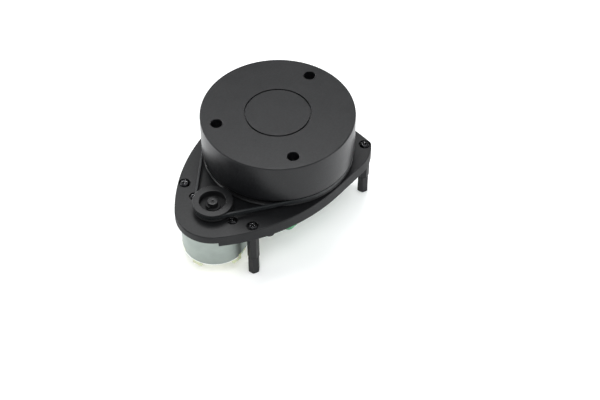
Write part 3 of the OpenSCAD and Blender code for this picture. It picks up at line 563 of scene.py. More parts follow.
def copper_wire():
    """Enamelled winding wire, turn beside turn, darker in the grooves between turns as painted shade
    and lighter on the crests as painted highlight.
    """
    paint = Paint("copper_wire", Metallic=1.0, Coat_Weight=0.5)
    wave = {"Vector": paint.place, "Scale": 1 / (1.6 * MM), "Distortion": 0.4}
    winding_relief_and_shade = paint.node("ShaderNodeTexWave", wave, bands_direction="Z").outputs["Fac"]
    # Colour follows the winding relief: painted shade in the grooves, painted highlight on the crests.
    paint.set("Base Color", paint.mix(winding_relief_and_shade, (0.30, 0.10, 0.03), (0.72, 0.32, 0.13)))
    paint.set("Roughness", paint.spread(paint.noise(0.6, 2), 0.25, 0.4))
    paint.bump((winding_relief_and_shade, 0.12))
    return paint.material


BLACK = moulded("head_plastic", (0.0050, 0.0052, 0.0058), (0.0080, 0.0083, 0.0094), 0.38, 0.27,
                grain=0.03, sides=-0.06)
PLATE = moulded("plate_plastic", (0.0050, 0.0052, 0.0057), (0.0080, 0.0083, 0.0092), 0.40, 0.26, sides=0.2)
PULLEY = pulley_plastic(PULLEY_HIGH.z * MM)
DARK = moulded("dark_plastic", (0.0050, 0.0052, 0.0057), (0.0080, 0.0083, 0.0090), 0.36, 0.27,
               grain=0.008, sides=0.14)
RUBBER = belt_rubber()
# The can's bottom lip is near-white: bare cut edge and painted highlight.
CAN = metal("can_steel", (0.305, 0.344, 0.318), 0.44, stained=(0.265, 0.3, 0.278), drawn=6,
            cut_edge_and_highlight_z=(CAN_LOW.z + 0.5) * MM)
STEEL = metal("bright_steel", (0.60, 0.60, 0.61), 0.28)
OXIDE = black_oxide()
BRASS = metal("brass", (0.72, 0.50, 0.20), 0.3)
GOLD = metal("gold_plate", (0.95, 0.68, 0.28), 0.24)
SOLDER = metal("solder", (0.66, 0.67, 0.69), 0.26, relief=0.01)
COPPER = copper_wire()
NYLON = mottled("nylon", (3, 3), (0.52, 0.55, 0.36), (0.60, 0.63, 0.43), (1.5, 2), 0.34, 0.46,
                (0.5, 2, 0.01), Subsurface_Weight=0.35, Subsurface_Scale=0.0015)
IVORY = mottled("ivory_plastic", (2, 3), (0.72, 0.62, 0.42), (0.80, 0.71, 0.52), (1.2, 2), 0.28, 0.4,
                (0.4, 2, 0.006), Subsurface_Weight=0.15, Subsurface_Scale=0.0008)
MASK = solder_mask()
EPOXY = mottled("chip_epoxy", (0.3, 4), (0.016, 0.016, 0.017), (0.030, 0.030, 0.032), (0.5, 3), 0.5, 0.64,
                (0.15, 2, 0.006), Specular_IOR_Level=0.4)
RED_WIRE = insulation("red_wire", (0.42, 0.018, 0.016))
BLACK_WIRE = insulation("black_wire", (0.014, 0.014, 0.015))
FERRITE = mottled("ferrite", (0.6, 4), (0.05, 0.05, 0.052), (0.09, 0.09, 0.092), (0.5, 3), 0.5, 0.7,
                  (0.4, 4, 0.02), Metallic=0.4)
GLASS = mottled("coated_glass", (5, 2), (0.10, 0.07, 0.22), (0.16, 0.10, 0.30), (2, 2), 0.01, 0.05,
                Transmission_Weight=0.55, IOR=1.6, Coat_Weight=1.0, Coat_Roughness=0.02, Coat_IOR=1.9,
                Coat_Tint=(0.55, 0.45, 1.0, 1))


# ---- fasteners

SCREW_TURNS = (20, 65, 40, 5)


def cross(length, width):
    """Outline of a plus sign."""
    a, b = length / 2, width / 2
    arm = [(a, -b), (a, b), (b, b)]
    points = []
    for k in range(4):
        c, s = round(math.cos(k * math.pi / 2)), round(math.sin(k * math.pi / 2))
        points += [(x * c - y * s, x * s + y * c) for x, y in arm]
    return points


def cross_recess(size, top, depth):
    """Tapered cross-shaped hole of a screw head, open upwards."""
    over = 0.3
    levels = ((top + over, 1.12), (top, 1.0), (top - depth * 0.6, 0.66), (top - depth, 0.3))
    return loft([[(x * k, y * k, z) for x, y in cross(size, size * 0.3)] for z, k in levels])


THREAD_PITCH = 0.45
THREAD_ROOT = 0.84


def thread(radius, low, high):
    """Outline points, from the tip up, of a shank with thread crests."""
    tip = radius * 0.6
    count = max(2, int((high - low - radius) / THREAD_PITCH))
    step = (high - low - tip) / count
    points = [(0, low), (tip, low)]
    for i in range(count):
        z = low + tip + i * step
        points += [(radius * THREAD_ROOT, z), (radius, z + step / 2)]
    return points + [(radius * THREAD_ROOT, high)]


def screw(head_r, head_h, shank_r, length, turn):
    """Pan-head cross screw, its seat at z = 0 and its shank downwards."""
    head = rounded([(shank_r * THREAD_ROOT, 0, 0), (head_r, 0, 0.12), (head_r, head_h * 0.5, head_h * 0.16),
                    (head_r * 0.72, head_h, head_h * 0.5), (0, head_h, 0)], 5, closed=False)
    body = lathe(thread(shank_r, -length, -0.05) + head, 40)
    cutter = at(cross_recess(head_r * 1.12, head_h, head_h * 0.62), 0, 0, 0, turn)
    return soften(cut(body, cutter), 0.05, where=lambda p: p.z > head_h * 0.3)


def screws(node, body, slot, material, head_h, shank_r, down=False, turned=HERE):
    """Every screw of a CAD node, from the boxes of its solids, each driven home at its own angle."""
    made = []
    for i, (low, high) in enumerate(solids(node, turned)):
        head_r = (high.x - low.x) / 2
        bm = screw(head_r, head_h, shank_r, high.z - low.z - head_h, SCREW_TURNS[i % len(SCREW_TURNS)])
        if down:
            bm = moved(bm, Matrix.Rotation(math.pi, 4, "X"))
        seat = low.z + head_h if down else high.z - head_h
        made.append(at(bm, *middle(low, high), seat))
    look(node, gather(made), body, slot, material, turned=turned)


def standoffs(node, turn, stud):
    """Hexagonal spacers with turned ends, a threaded hole and a stud or a second hole."""
    flat, chamfer, foot_hole_r, core_r = 4.75, 0.5, 1.25, 1.0
    corner = flat / 2 / math.cos(math.radians(30))
    made = []
    for low, high in solids(node):
        foot = low.z + stud
        hexagon = rounded([(corner * math.cos(math.radians(a)), corner * math.sin(math.radians(a)), 0.22)
                           for a in range(0, 360, 60)])
        ends = rounded([
            (0, foot, 0), (corner - chamfer, foot, 0.15), (corner + 0.15, foot + chamfer * 0.9, 0),
            (corner + 0.15, high.z - chamfer * 0.9, 0), (corner - chamfer, high.z, 0.15), (0, high.z, 0)])
        bm = boolean(prism(hexagon, foot - 1, high.z + 1), [lathe(ends, 72)], "INTERSECT")
        holes = [rod(core_r + 0.03, high.z - 5, high.z + 1)]
        if not stud:
            holes.append(rod(foot_hole_r, foot - 1, foot + 4))
        bm = soften(cut(bm, *holes), 0.08)
        if stud:
            bm = gather([bm, lathe(thread(core_r, low.z, foot - 0.02) + [(0, foot - 0.02)], 32)])
        made.append(at(bm, *middle(low, high), 0, turn))
    look(node, gather(made), "base", "dark_plastic", DARK)


# ---- base

def plate_outline(inset):
    """Outline of the pear-shaped plate about the scan axis, set in by a distance."""
    screw_x, screw_y = -28.8, 27.9
    flank_r = (AXIS_GAP ** 2 + HALF_W ** 2 - FRONT_R ** 2) / (2 * (HALF_W - FRONT_R))
    lean = math.degrees(math.atan2(flank_r - HALF_W, AXIS_GAP))
    shoulder_y = HALF_W - SHOULDER_R
    shoulder_x = screw_x + math.sqrt((SHOULDER_R - CORNER_R) ** 2 - (screw_y - shoulder_y) ** 2)
    drop = REAR_REACH + screw_x
    rear_r = (screw_y ** 2 + drop ** 2 - CORNER_R ** 2) / (2 * (drop - CORNER_R))
    into = math.degrees(math.atan2(screw_y - shoulder_y, screw_x - shoulder_x))
    out = math.degrees(math.atan2(screw_y, screw_x + REAR_REACH - rear_r))
    half = arc((AXIS_GAP, 0), FRONT_R - inset, 0, lean, 28)
    half += arc((0, HALF_W - flank_r), flank_r - inset, lean, 90, 40)[1:]
    half += arc((shoulder_x, shoulder_y), SHOULDER_R - inset, 90, into, 16)
    half += arc((screw_x, screw_y), CORNER_R - inset, into, out, 8)[1:]
    half += arc((rear_r - REAR_REACH, 0), rear_r - inset, out, 180, 12)[1:]
    return half + [(x, -y) for x, y in half[-2:0:-1]]


def flared_hole(radius, low, top, floor=None, wide=0.0, flare=0.15):
    """Cutter for a hole from low up through top, with a wider seat from floor up and a broken edge."""
    outer = wide or radius
    outline = [(0, low), (radius, low)]
    if wide:
        outline += [(radius, floor), (wide, floor)]
    outline += [(outer, top - flare), (outer + flare, top), (outer + flare, top + 1), (0, top + 1)]
    return lathe(outline, 48)


def base_plate():
    """Plate with its rim, bearing housing, screw bosses, posts, seats and holes."""
    shell = rounded([(RIM_WALL, PLATE_UNDER, 0), (RIM_WALL, RIM_Z, 0.2), (0, RIM_Z, 0.35),
                     (0, PLATE_TOP, 0.45), (2 * RIM_WALL, PLATE_TOP, 0)], 4, closed=False)
    rings = [[(x, y, z) for x, y in plate_outline(inset)] for inset, z in shell[:-1]]
    bm = moved(loft(rings), SCAN)
    stand_z = corners("upper_standoffs")[1].z
    board_top = BOARD_HIGH.z
    housing_z = corners("slip_ring_body")[0].z + 1.6
    bearing_low, bearing_high = corners("bearing_outer_race")
    bearing_r = (bearing_high.x - bearing_low.x) / 2
    over = PLATE_UNDER + 0.7
    corner_places = middles("corner_screws")
    board_places = middles("control_board_screws")
    board_post_r, post_r, post_drop, post_x, post_y = 2.6, 2.5, 1.8, 35.2, 24
    bosses = [moved(rod(bearing_r + 2.5, housing_z, over, 0.3, 128), SCAN)]
    bosses += rods(corner_places, CORNER_R - 0.1, stand_z, over, 0.1)
    bosses += rods(board_places, board_post_r, board_top, over, 0.15)
    bosses += rods([(SCAN_X + post_x, s * post_y) for s in (-1, 1)], post_r, RIM_Z - post_drop, over, 0.7)
    bm = unite(bm, *bosses)
    seat_r = bearing_r + 0.02
    bearing_seat = [(0, housing_z - 1), (bearing_r - 2, housing_z - 1), (bearing_r - 2, bearing_low.z),
                    (seat_r, bearing_low.z), (seat_r, PLATE_TOP - 0.2), (seat_r + 0.2, PLATE_TOP),
                    (seat_r + 0.2, PLATE_TOP + 1), (0, PLATE_TOP + 1)]
    cutters = [moved(lathe(bearing_seat, 128), SCAN)]
    # Each kind of screw's hole radius, the hole's foot, and its seat's depth and radius.
    for places, hole_r, foot, deep, wide in ((corner_places, 1.45, stand_z, 1.1, 2.65),
                                             (middles("motor_screws"), 1.15, PLATE_UNDER, 1, 2.2)):
        cutters += [at(flared_hole(hole_r, foot - 1, PLATE_TOP, PLATE_TOP - deep, wide, 0.12), x, y)
                    for x, y in places]
    pilot_r, stator_pilot_r, collar_hole_r, wedge_half, wedge_h = 0.9, 0.6, 3.8, 49, 2.3
    cutters += rods(board_places, pilot_r, board_top - 1, PLATE_UNDER - 0.6)
    cutters += [moved(flared_hole(collar_hole_r, PLATE_UNDER - 1, PLATE_TOP), MOTOR)]
    wedge = [(0, 0)] + arc((0, 0), 2 * FRONT_R, -wedge_half, wedge_half, 2)
    cutters += [moved(prism(wedge, RIM_Z - 1, RIM_Z + wedge_h), MOTOR)]
    cutters += rods(middles("slip_ring_screws"), stator_pilot_r, housing_z - 1, housing_z + 3)
    look("base_plate", cut(bm, *cutters), "base", "plate_plastic", PLATE)


BELT_T = 1.0


def belt_path(offset):
    """Closed path round turntable and pulley, a distance out from the belt's inner face."""
    big = SCAN_X - BELT_LOW.x - BELT_T + offset
    small = BELT_HIGH.x - MOTOR_X - BELT_T + offset
    lean = math.degrees(math.acos((big - small) / AXIS_GAP))
    return arc((SCAN_X, 0), big, lean, 360 - lean, 220) + arc((MOTOR_X, 0), small, -lean, lean, 64)


def drive_belt():
    """Flat rubber belt with rounded corners."""
    low, high = BELT_LOW.z, BELT_HIGH.z
    section = rounded([(0, low, 0.18), (BELT_T, low, 0.28), (BELT_T, high, 0.28), (0, high, 0.18)], 4)
    bm = loft([[(x, y, z) for x, y in belt_path(offset)] for offset, z in section], around=True)
    look("drive_belt", bm, "base", "belt_rubber", RUBBER)


# ---- motor

def motor_can():
    """Drawn steel can with a rounded shoulder, a collar, a lip and two notches in its lower rim."""
    low, top = CAN_LOW.z, PLATE_UNDER
    radius, wall = (CAN_HIGH.x - CAN_LOW.x) / 2, 0.7
    collar_r, bush_r, lip_h, lip, notch_half, notch_h = 3.5, 2.22, 0.5, 0.12, 3, 1.5
    outline = rounded([
        (radius - wall, low, 0.12), (radius, low, 0.25), (radius, low + lip_h, 0.08),
        (radius - lip, low + lip_h + lip, 0.12), (radius - lip, top, 0.9), (collar_r, top, 0.2),
        (collar_r, CAN_HIGH.z, 0.2), (bush_r, CAN_HIGH.z, 0.1), (bush_r, top - 0.8, 0),
        (radius - wall, top - 0.8, 0.4)], 6)
    bm = lathe(outline, 192)
    notches = [moved(bar(radius - 1, 0, 2, notch_half, low - 1, low + notch_h, 0.3), m)
               for m in turns(NOTCH_ANGLES)]
    holes = rods(middles("motor_screws", MOTOR), 1.05, top - 2, top + 1)
    bm = soften(cut(bm, *notches, *holes), 0.05, angle=50, where=lambda p: p.z < low + 2)
    look("motor_can", bm, "base", "can_metal", CAN, turned=MOTOR)


def motor_end_cap():
    """Nylon disc with its boss, four tabs, two tongues in the can's notches and terminal slots."""
    low = CAN_LOW.z
    radius = (CAN_HIGH.x - CAN_LOW.x) / 2
    disc_r, disc_low, disc_top, arm_r, boss_r, boss_h = radius - 0.75, low - 0.3, low + 1.4, 10.6, 4, 1.5
    disc = lathe(rounded([(0, disc_low, 0), (disc_r, disc_low, 0.25), (disc_r, disc_top, 0.2),
                          (0, disc_top, 0)]), 128)
    tab_half, tab_h, tongue_half, tongue_h = 2.4, 2.6, 2.6, 1.3
    tabs = [moved(block((arm_r, -tab_half, low - tab_h), (radius - 0.2, tab_half, low - 0.05), 0.3), m)
            for m in turns(TAB_ANGLES)]
    tongues = [moved(block((arm_r, -tongue_half, disc_low), (radius - 0.3, tongue_half, low + tongue_h),
                           0.25), m) for m in turns(NOTCH_ANGLES)]
    bm = unite(unite(disc, rod(boss_r, low - boss_h, low, 0.3), *tabs), *tongues)
    cutters = [bar(x, y, 0.3, 1.1, low - 3, low + 2) for x, y in middles("motor_terminals", MOTOR)]
    cutters.append(rod(2.02, low - 3, low + 3))
    look("motor_end_cap", cut(bm, *cutters), "base", "nylon", NYLON, turned=MOTOR)


def crescent(inner, outer, start, end, low, high, edge):
    """Part of an upright ring between two angles, with rounded edges."""
    outline = arc((0, 0), outer, start, end, 24) + arc((0, 0), inner, end, start, 24)
    return soften(prism(outline, low, high), edge)


def drive_pulley():
    """Flanged pulley with a deep recess round its hub, a shoulder, a raised pad and a small blind hole."""
    low, top = PULLEY_LOW.z, PULLEY_HIGH.z
    flange_r = (PULLEY_HIGH.x - PULLEY_LOW.x) / 2
    groove_r, recess_r, step_r, hub_r, vent_r, bore_r = 7.5, 6.0, 3.4, 2.35, 0.5, 1.02
    flange_z, recess_z, step_z, vent_z = top - 0.9, top - 3.4, top - 2.6, top - 0.5
    belt_low = BELT_LOW.z - 0.2
    shaft_top = corners("motor_shaft")[1].z
    outline = rounded([
        (bore_r, low, 0.1), (flange_r - 0.2, low, 0.15), (flange_r - 0.2, belt_low, 0.12),
        (groove_r, belt_low, 0.1), (groove_r, flange_z, 0.1), (flange_r, flange_z, 0.12),
        (flange_r, top, 0.22), (recess_r, top, 0.2), (recess_r, recess_z, 0.15), (step_r, recess_z, 0.1),
        (step_r, step_z, 0.12), (hub_r, step_z, 0.1), (hub_r, top, 0.18), (vent_r, top, 0.05),
        (vent_r, vent_z, 0), (0, vent_z, 0), (0, shaft_top, 0), (bore_r, shaft_top, 0)], 4)
    shoulder = crescent(hub_r - 0.2, hub_r + 0.8, -44, 12, top - 3, top - 1.5, 0.3)
    pad = crescent(hub_r - 0.2, 4.4, 205, 254, top - 3, top - 2.1, 0.12)
    bm = unite(lathe(outline, 144), shoulder, pad)
    look("drive_pulley", bm, "motor_rotor", "dark_plastic", PULLEY, turned=MOTOR)


# ---- scan head

def head_cap():
    """Outer shell of the head with its ring groove, three deep screw wells and two optical windows."""
    inner, badge, half_groove, groove_z = CAP_R - CAP_WALL, 14.8, 0.34, HEAD_TOP - 0.9
    floor = CAP_Z + WELL_FLOOR
    outline = rounded([
        (0, CAP_UNDER, 0), (inner, CAP_UNDER, 1.0), (inner, CAP_Z, 0.1), (CAP_R, CAP_Z, 0.8),
        (CAP_R, HEAD_TOP, 0.6), (badge + half_groove, HEAD_TOP, 0.06), (badge + half_groove, groove_z, 0),
        (badge - half_groove, groove_z, 0), (badge - half_groove, HEAD_TOP, 0.06), (0, HEAD_TOP, 0)], 5)
    bm = lathe(outline, 288)
    spokes = turns(WELL_ANGLES, WELL_REACH)
    tube_r, tube_floor, well_r, screw_hole_r = 4, 1.6, 2.7, 1.2
    bm = unite(bm, *spoked(spokes, tube_r, floor - tube_floor, CAP_UNDER + 0.5, 0.2))
    wells = [moved(flared_hole(screw_hole_r, floor - 3, HEAD_TOP, floor, well_r, 0.14), m) for m in spokes]
    window_x, windows = 23, []
    for y, width, height in ((-14.2, 12.4, 12.4), (13.5, 17, 15)):
        outline = rectangle(width, height, 3, (y, OPTICS_Z))
        windows.append(loft([[(x, u, v) for u, v in outline] for x in (window_x, CAP_R + 2)]))
    bm = cut(bm, *wells, *windows)
    half_h, half_w = 7.6, 22.2
    bm = soften(bm, 0.22, 3, 40,
                lambda p: p.x > window_x and abs(p.z - OPTICS_Z) < half_h and abs(p.y) < half_w)
    look("head_cap", bm, "scan_head", "head_shell", BLACK, turned=HEAD)


def turntable():
    """Disc under the head with the belt groove round it, the hub inside the bearing and pillars."""
    groove_r = SCAN_X - BELT_LOW.x - 1.08
    lip_r = groove_r + 1.1
    belt_low, groove_top = BELT_LOW.z - 0.2, BELT_HIGH.z + 0.2
    hub_bore, hub_r, shoulder_r, web_r, flange_r = 6.7, 8.48, 9.78, 29, 31
    flange_z = PLATE_TOP + 0.8
    race_low, race_high = corners("bearing_outer_race")
    under = CAP_Z - 2
    spigot = CAP_R - CAP_WALL - 0.1
    seam = CAP_R - 0.9
    outline = rounded([
        (hub_bore, TABLE_LOW.z, 0.1), (hub_r, TABLE_LOW.z, 0.1), (hub_r, race_high.z, 0),
        (shoulder_r, race_high.z, 0.1), (shoulder_r, under, 0.3), (web_r, under, 0.5),
        (flange_r, flange_z, 0.2), (lip_r, flange_z, 0.1), (lip_r, belt_low - 0.5, 0.15),
        (lip_r - 0.5, belt_low, 0.15), (groove_r, belt_low, 0.1), (groove_r, groove_top, 0.1),
        (seam, groove_top, 0.1), (seam, CAP_Z, 0.05), (spigot, CAP_Z, 0.05), (spigot, DECK_Z, 0.15),
        (hub_bore, DECK_Z, 0.1)], 4)
    bm = lathe(outline, 240)
    board_z = corners("ranging_board")[0].z
    spokes = turns(WELL_ANGLES, WELL_REACH)
    board_places = middles("ranging_board_screws", HEAD)
    pillar_r, pillar_h, pilot_r, post_r, post_pilot_r = 3.4, 9.4, 1.05, 2.3, 0.8
    bm = unite(bm, *spoked(spokes, pillar_r, DECK_Z - 0.5, CAP_Z + pillar_h, 0.15),
               *rods(board_places, post_r, DECK_Z - 0.5, board_z, 0.1))
    cutters = [ring(hub_r + 1, hub_r - 0.4, TABLE_LOW.z + 0.2, race_low.z)]
    cutters += spoked(spokes, pilot_r, DECK_Z + 2, CAP_Z + WELL_FLOOR)
    cutters += rods(board_places, post_pilot_r, DECK_Z + 1, board_z + 1)
    look("turntable", cut(bm, *cutters), "scan_head", "dark_plastic", DARK, turned=HEAD)


def optical_axis(y):
    """The turn from Z onto an optical axis, which runs along the head's x."""
    return HEAD @ Matrix.Translation((0, y, OPTICS_Z)) @ Matrix.Rotation(math.pi / 2, 4, "Y")


def barrel(node, slot, material, y, radius, start, end, bores):
    """Lens barrel with knurling rings and stepped bores, each (radius, from, to)."""
    bm = lathe(rounded([(0, start, 0), (radius, start, 0.25), (radius, end, 0.3), (0, end, 0)]), 96)
    grip = [ring(radius + 1, radius - 0.18, z, z + 0.35) for z in (end - 2.2, end - 1.4)]
    bm = cut(bm, *grip)
    for bore_r, low, high in bores:
        bm = cut(bm, rod(bore_r, low, high, 0, 72))
    look(node, soften(bm, 0.1, angle=50), "scan_head", slot, material, turned=optical_axis(y))


def lens(node, y, radius, z, bulge):
    """Domed lens with a ground rim."""
    ball = (radius ** 2 + bulge ** 2) / (2 * bulge)
    reach = math.degrees(math.asin(radius / ball))
    dome = arc((0, z + bulge - ball), ball, 90 - reach, 90, 16)
    outline = [(0, z - 1.2), (radius - 0.15, z - 1.2), (radius, z - 1.05)] + dome
    look(node, lathe(outline), "scan_head", "lens_glass", GLASS, turned=optical_axis(y), smooth=50)


# ---- electronics

def board_with_pads(node, body, bm, pad_places, low_z, high_z, turned=HERE):
    """Circuit board piece, and gold rings round its holes on both faces."""
    look(node, bm, body, "board_green", MASK, turned=turned)
    pads = []
    for x, y, inner, outer in pad_places:
        for z in (low_z - 0.03, high_z - 0.01):
            pads.append(at(ring(outer, inner, z, z + 0.04, 32), x, y))
    piece(node + "_pads", gather(pads), body, "gold", GOLD, turned=turned)


def gull_legs(low, high, board_z, up):
    """Bent legs along the two long sides of a chip that stands on or hangs under a board."""
    pitch, half_w, reach, foot_t, rise = 1.27, 0.21, 0.9, 0.14, (high.z - low.z) * 0.5
    shape = [(0, rise), (0.35, rise), (0.5, foot_t), (reach, foot_t), (reach, 0), (0.38, 0),
             (0.25, rise - foot_t), (0, rise - foot_t)]
    along_y = high.y - low.y >= high.x - low.x
    start, end = (low.y, high.y) if along_y else (low.x, high.x)
    edges = (low.x, high.x) if along_y else (low.y, high.y)
    count = int((end - start - 0.8) / pitch) + 1
    legs = []
    for i in range(count):
        along = (start + end) / 2 + (i - (count - 1) / 2) * pitch
        for edge, way in zip(edges, (-1, 1)):
            outline = [(edge + way * (p - 0.1), board_z + up * q) for p, q in shape]
            legs.append(loft([[(b, side, z) if along_y else (side, b, z) for b, z in outline]
                              for side in (along - half_w, along + half_w)]))
    return legs


def pieces_on_board(node, body, turned, groups):
    """Pieces made of (suffix, meshes, slot, material) groups; the first one stands for the CAD node."""
    for i, (suffix, meshes, slot, material) in enumerate(groups):
        piece(node + suffix, gather(meshes), body, slot, material, *([] if i else [node]), turned=turned)


def chips(node, body, board_z, up, turned=HERE):
    """Chip bodies with a sloped moulding line and a pin-one dimple, and their legs."""
    stand_off, slope, dimple_r, dimple_h = 0.1, 0.14, 0.45, 0.12
    bodies, legs = [], []
    for low, high in solids(node, turned):
        foot, top = (low.z + stand_off, high.z) if up > 0 else (high.z - stand_off, low.z)
        centre = middle(low, high)
        rings = []
        for z, inset in ((foot, slope), ((foot + top) / 2, 0), (top, slope)):
            outline = rectangle(high.x - low.x - 2 * inset, high.y - low.y - 2 * inset, 0.12, centre)
            rings.append([(x, y, z) for x, y in outline])
        dimple = rod(dimple_r, *sorted((top - up * dimple_h, top + up * dimple_h)), 0, 24)
        bodies.append(cut(loft(rings), at(dimple, low.x + 1.1, low.y + 1.1)))
        legs += gull_legs(low, high, board_z, up)
    pieces_on_board(node, body, turned, (("_look", bodies, "chip_black", EPOXY),
                                         ("_legs", legs, "bright_steel", SOLDER)))


def capacitor(radius, tall, up):
    """Round metal capacitor can with its rolled neck and the vent cross in its top."""
    neck = radius - 0.35
    bm = lathe(rounded([
        (0, 0, 0), (radius - 0.1, 0, 0.2), (radius - 0.1, 0.7, 0), (neck, 0.95, 0.1),
        (radius - 0.1, 1.2, 0), (radius, tall - 0.35, 0), (radius, tall, 0.35), (radius * 0.8, tall, 0.1),
        (radius * 0.75, tall - 0.12, 0), (0, tall - 0.12, 0)]), 64)
    half, line = radius * 0.5, 0.12
    bm = cut(bm, bar(0, 0, half, line, tall - 0.25, tall + 1))
    bm = cut(bm, bar(0, 0, line, half, tall - 0.22, tall + 1))
    return bm if up > 0 else moved(bm, Matrix.Rotation(math.pi, 4, "X"))


def small_parts(node, body, up, turned=HERE):
    """Board parts by their boxes: tall ones are capacitor cans, the others are chip parts with ends."""
    end_share, shrink = 0.26, 0.04
    metal_ends, bodies = [], []
    for low, high in solids(node, turned):
        if high.z - low.z > 2:
            can = capacitor((high.x - low.x) / 2, high.z - low.z, up)
            metal_ends.append(at(can, *middle(low, high), low.z if up > 0 else high.z))
            continue
        axis = 0 if high.x - low.x >= high.y - low.y else 1
        share = (high[axis] - low[axis]) * end_share
        inner_low, inner_high = low.copy(), high.copy()
        inner_low[axis] += share
        inner_high[axis] -= share
        first_end, last_end = high.copy(), low.copy()
        first_end[axis], last_end[axis] = inner_low[axis], inner_high[axis]
        metal_ends += [block(low, first_end, 0.06), block(last_end, high, 0.06)]
        inner_low[1 - axis] += shrink
        inner_high[1 - axis] -= shrink
        if up > 0:
            inner_high.z -= shrink
        else:
            inner_low.z += shrink
        bodies.append(block(inner_low, inner_high))
    pieces_on_board(node, body, turned, (("_look", metal_ends, "bright_steel", STEEL),
                                         ("_bodies", bodies, "chip_black", EPOXY)))


VIA = (0.18, 0.42)  # radius of a small plated hole and of its pad


def vias(low, high, count, keep_clear):
    """Scattered small plated holes on a board, clear of (x, y, radius) circles, as pads."""
    found = []
    while len(found) < count:
        x, y = random.uniform(low.x + 2, high.x - 2), random.uniform(low.y + 2, high.y - 2)
        if all(math.hypot(x - a, y - b) > r + 1.2 for a, b, r in keep_clear):
            found.append((x, y, *VIA))
            keep_clear = keep_clear + [(x, y, VIA[1])]
    return found


def control_board():
    """Board under the plate with its screw holes, standoff cut-outs, pin holes and bearing hole."""
    low, high = BOARD_LOW, BOARD_HIGH
    below, above = low.z - 1, high.z + 1
    bm = prism(rectangle(high.x - low.x, high.y - low.y, 2.4, ((low.x + high.x) / 2, 0)), low.z, high.z)
    screw_places = middles("control_board_screws")
    pin_places = middles("socket_pins")
    rear = [(x, y) for x, y in middles("corner_screws") if x < SCAN_X]
    housing_r, stand_r, screw_r, pin_r = 16.2, 4.2, 1.2, 0.39
    cutters = [moved(rod(housing_r, below, above, 0, 128), SCAN)]
    cutters += rods(screw_places, screw_r, below, above) + rods(rear, stand_r, below, above)
    cutters += rods(pin_places, pin_r, below, above, 0, 16)
    # Pads are (x, y, hole radius, pad radius).
    pads = [(x, y, 1.25, 2.4) for x, y in screw_places] + [(x, y, 0.4, 0.8) for x, y in pin_places]
    random.seed(7)
    clear = [(x, y, pad_r) for x, y, _, pad_r in pads] + [(x, y, stand_r) for x, y in rear]
    clear.append((SCAN_X, 0, housing_r))
    pads += vias(low, high, 42, clear)
    board_with_pads("control_board", "base", cut(bm, *cutters), pads, low.z, high.z)


def ranging_board():
    """Round board in the head with a straight front edge."""
    low, high = solids("ranging_board", HEAD)[0]
    below, above = low.z - 1, high.z + 1
    radius, front, tube_gap_r, screw_r, leads_r = 30.5, 5.0, 4.6, 1.1, 3.2
    reach = math.degrees(math.acos(front / radius))
    bm = prism(arc((0, 0), radius, reach, 360 - reach, 150), low.z, high.z)
    places = middles("ranging_board_screws", HEAD)
    cutters = spoked(turns(WELL_ANGLES[1:], WELL_REACH), tube_gap_r, below, above)
    cutters += rods(places, screw_r, below, above) + [rod(leads_r, below, above)]
    pads = [(x, y, 1.15, 2.2) for x, y in places]
    x, y, gap = -7, 21, 2.2
    pads += [(x - gap * (i % 3), y - gap * (i // 3), *VIA) for i in range(6)]
    board_with_pads("ranging_board", "scan_head", cut(bm, *cutters), pads, low.z, high.z, HEAD)


def pin_socket(node, pins):
    """Open shrouded socket that hangs under the control board."""
    low, high = corners(node)
    y = (low.y + high.y) / 2
    floor, key_h, hole = high.z - 1.5, 2.5, 0.29
    bm = cut(block(low, high, 0.18),
             block((low.x + 0.6, low.y + 0.7, low.z - 1), (high.x - 0.6, high.y - 0.7, floor), 0.1))
    bm = cut(bm, *[bar(low.x, y + key, 1, 0.5, low.z - 1, low.z + key_h) for key in (-1.2, 1.2)])
    bm = cut(bm, block((high.x - 0.65, y - pins * 0.5, low.z + 0.7),
                       (high.x - 0.25, y + pins * 0.5, floor - 0.1)))
    inside = [(a, b) for a, b in middles("socket_pins") if low.x < a < high.x and low.y < b < high.y]
    bm = cut(bm, *[bar(a, b, hole, hole, floor - 1, high.z + 1) for a, b in inside])
    look(node, soften(bm, 0.05, 1, 60), "base", "ivory_plastic", IVORY)


def motor_plug():
    """Two-way plug with its pin holes, crimp windows and a latch bump."""
    low, high = corners("motor_plug")
    x, y = middle(low, high)
    bm = unite(bar(x, y, 1.55, 2.1, low.z, high.z, 0.15), bar(x, y, 1.9, 2.6, low.z, low.z + 1, 0.15))
    cutters = []
    for way in (y - 1, y + 1):
        cutters.append(bar(x, way, 0.35, 0.35, low.z - 1, high.z + 1))
        cutters.append(block((x + 0.9, way - 0.4, low.z + 1.6), (x + 3, way + 0.4, low.z + 3)))
    look("motor_plug", cut(bm, *cutters), "base", "ivory_plastic", IVORY)


RED_ROUTE = [(11.5, 1, 14.8), (11.5, 1, 12), (12.5, 2, 8.5), (15, 4, 5.8), (18, 5, 5), (20.6, 5, 5)]
LEAD_R = 0.6


def smooth_route(points, steps):
    """Points on a smooth curve through a route's own points."""
    count = len(points) - 1
    curve = []
    for k in range(steps + 1):
        t = k / steps
        i = min(int(t * count), count - 1)
        f = t * count - i
        a, b, c, d = (Vector(points[j]) for j in (max(i - 1, 0), i, i + 1, min(i + 2, count)))
        curve.append(0.5 * (2 * b + (c - a) * f + (2 * a - 5 * b + 4 * c - d) * f ** 2
                            + (3 * b - a - 3 * c + d) * f ** 3))
    return curve


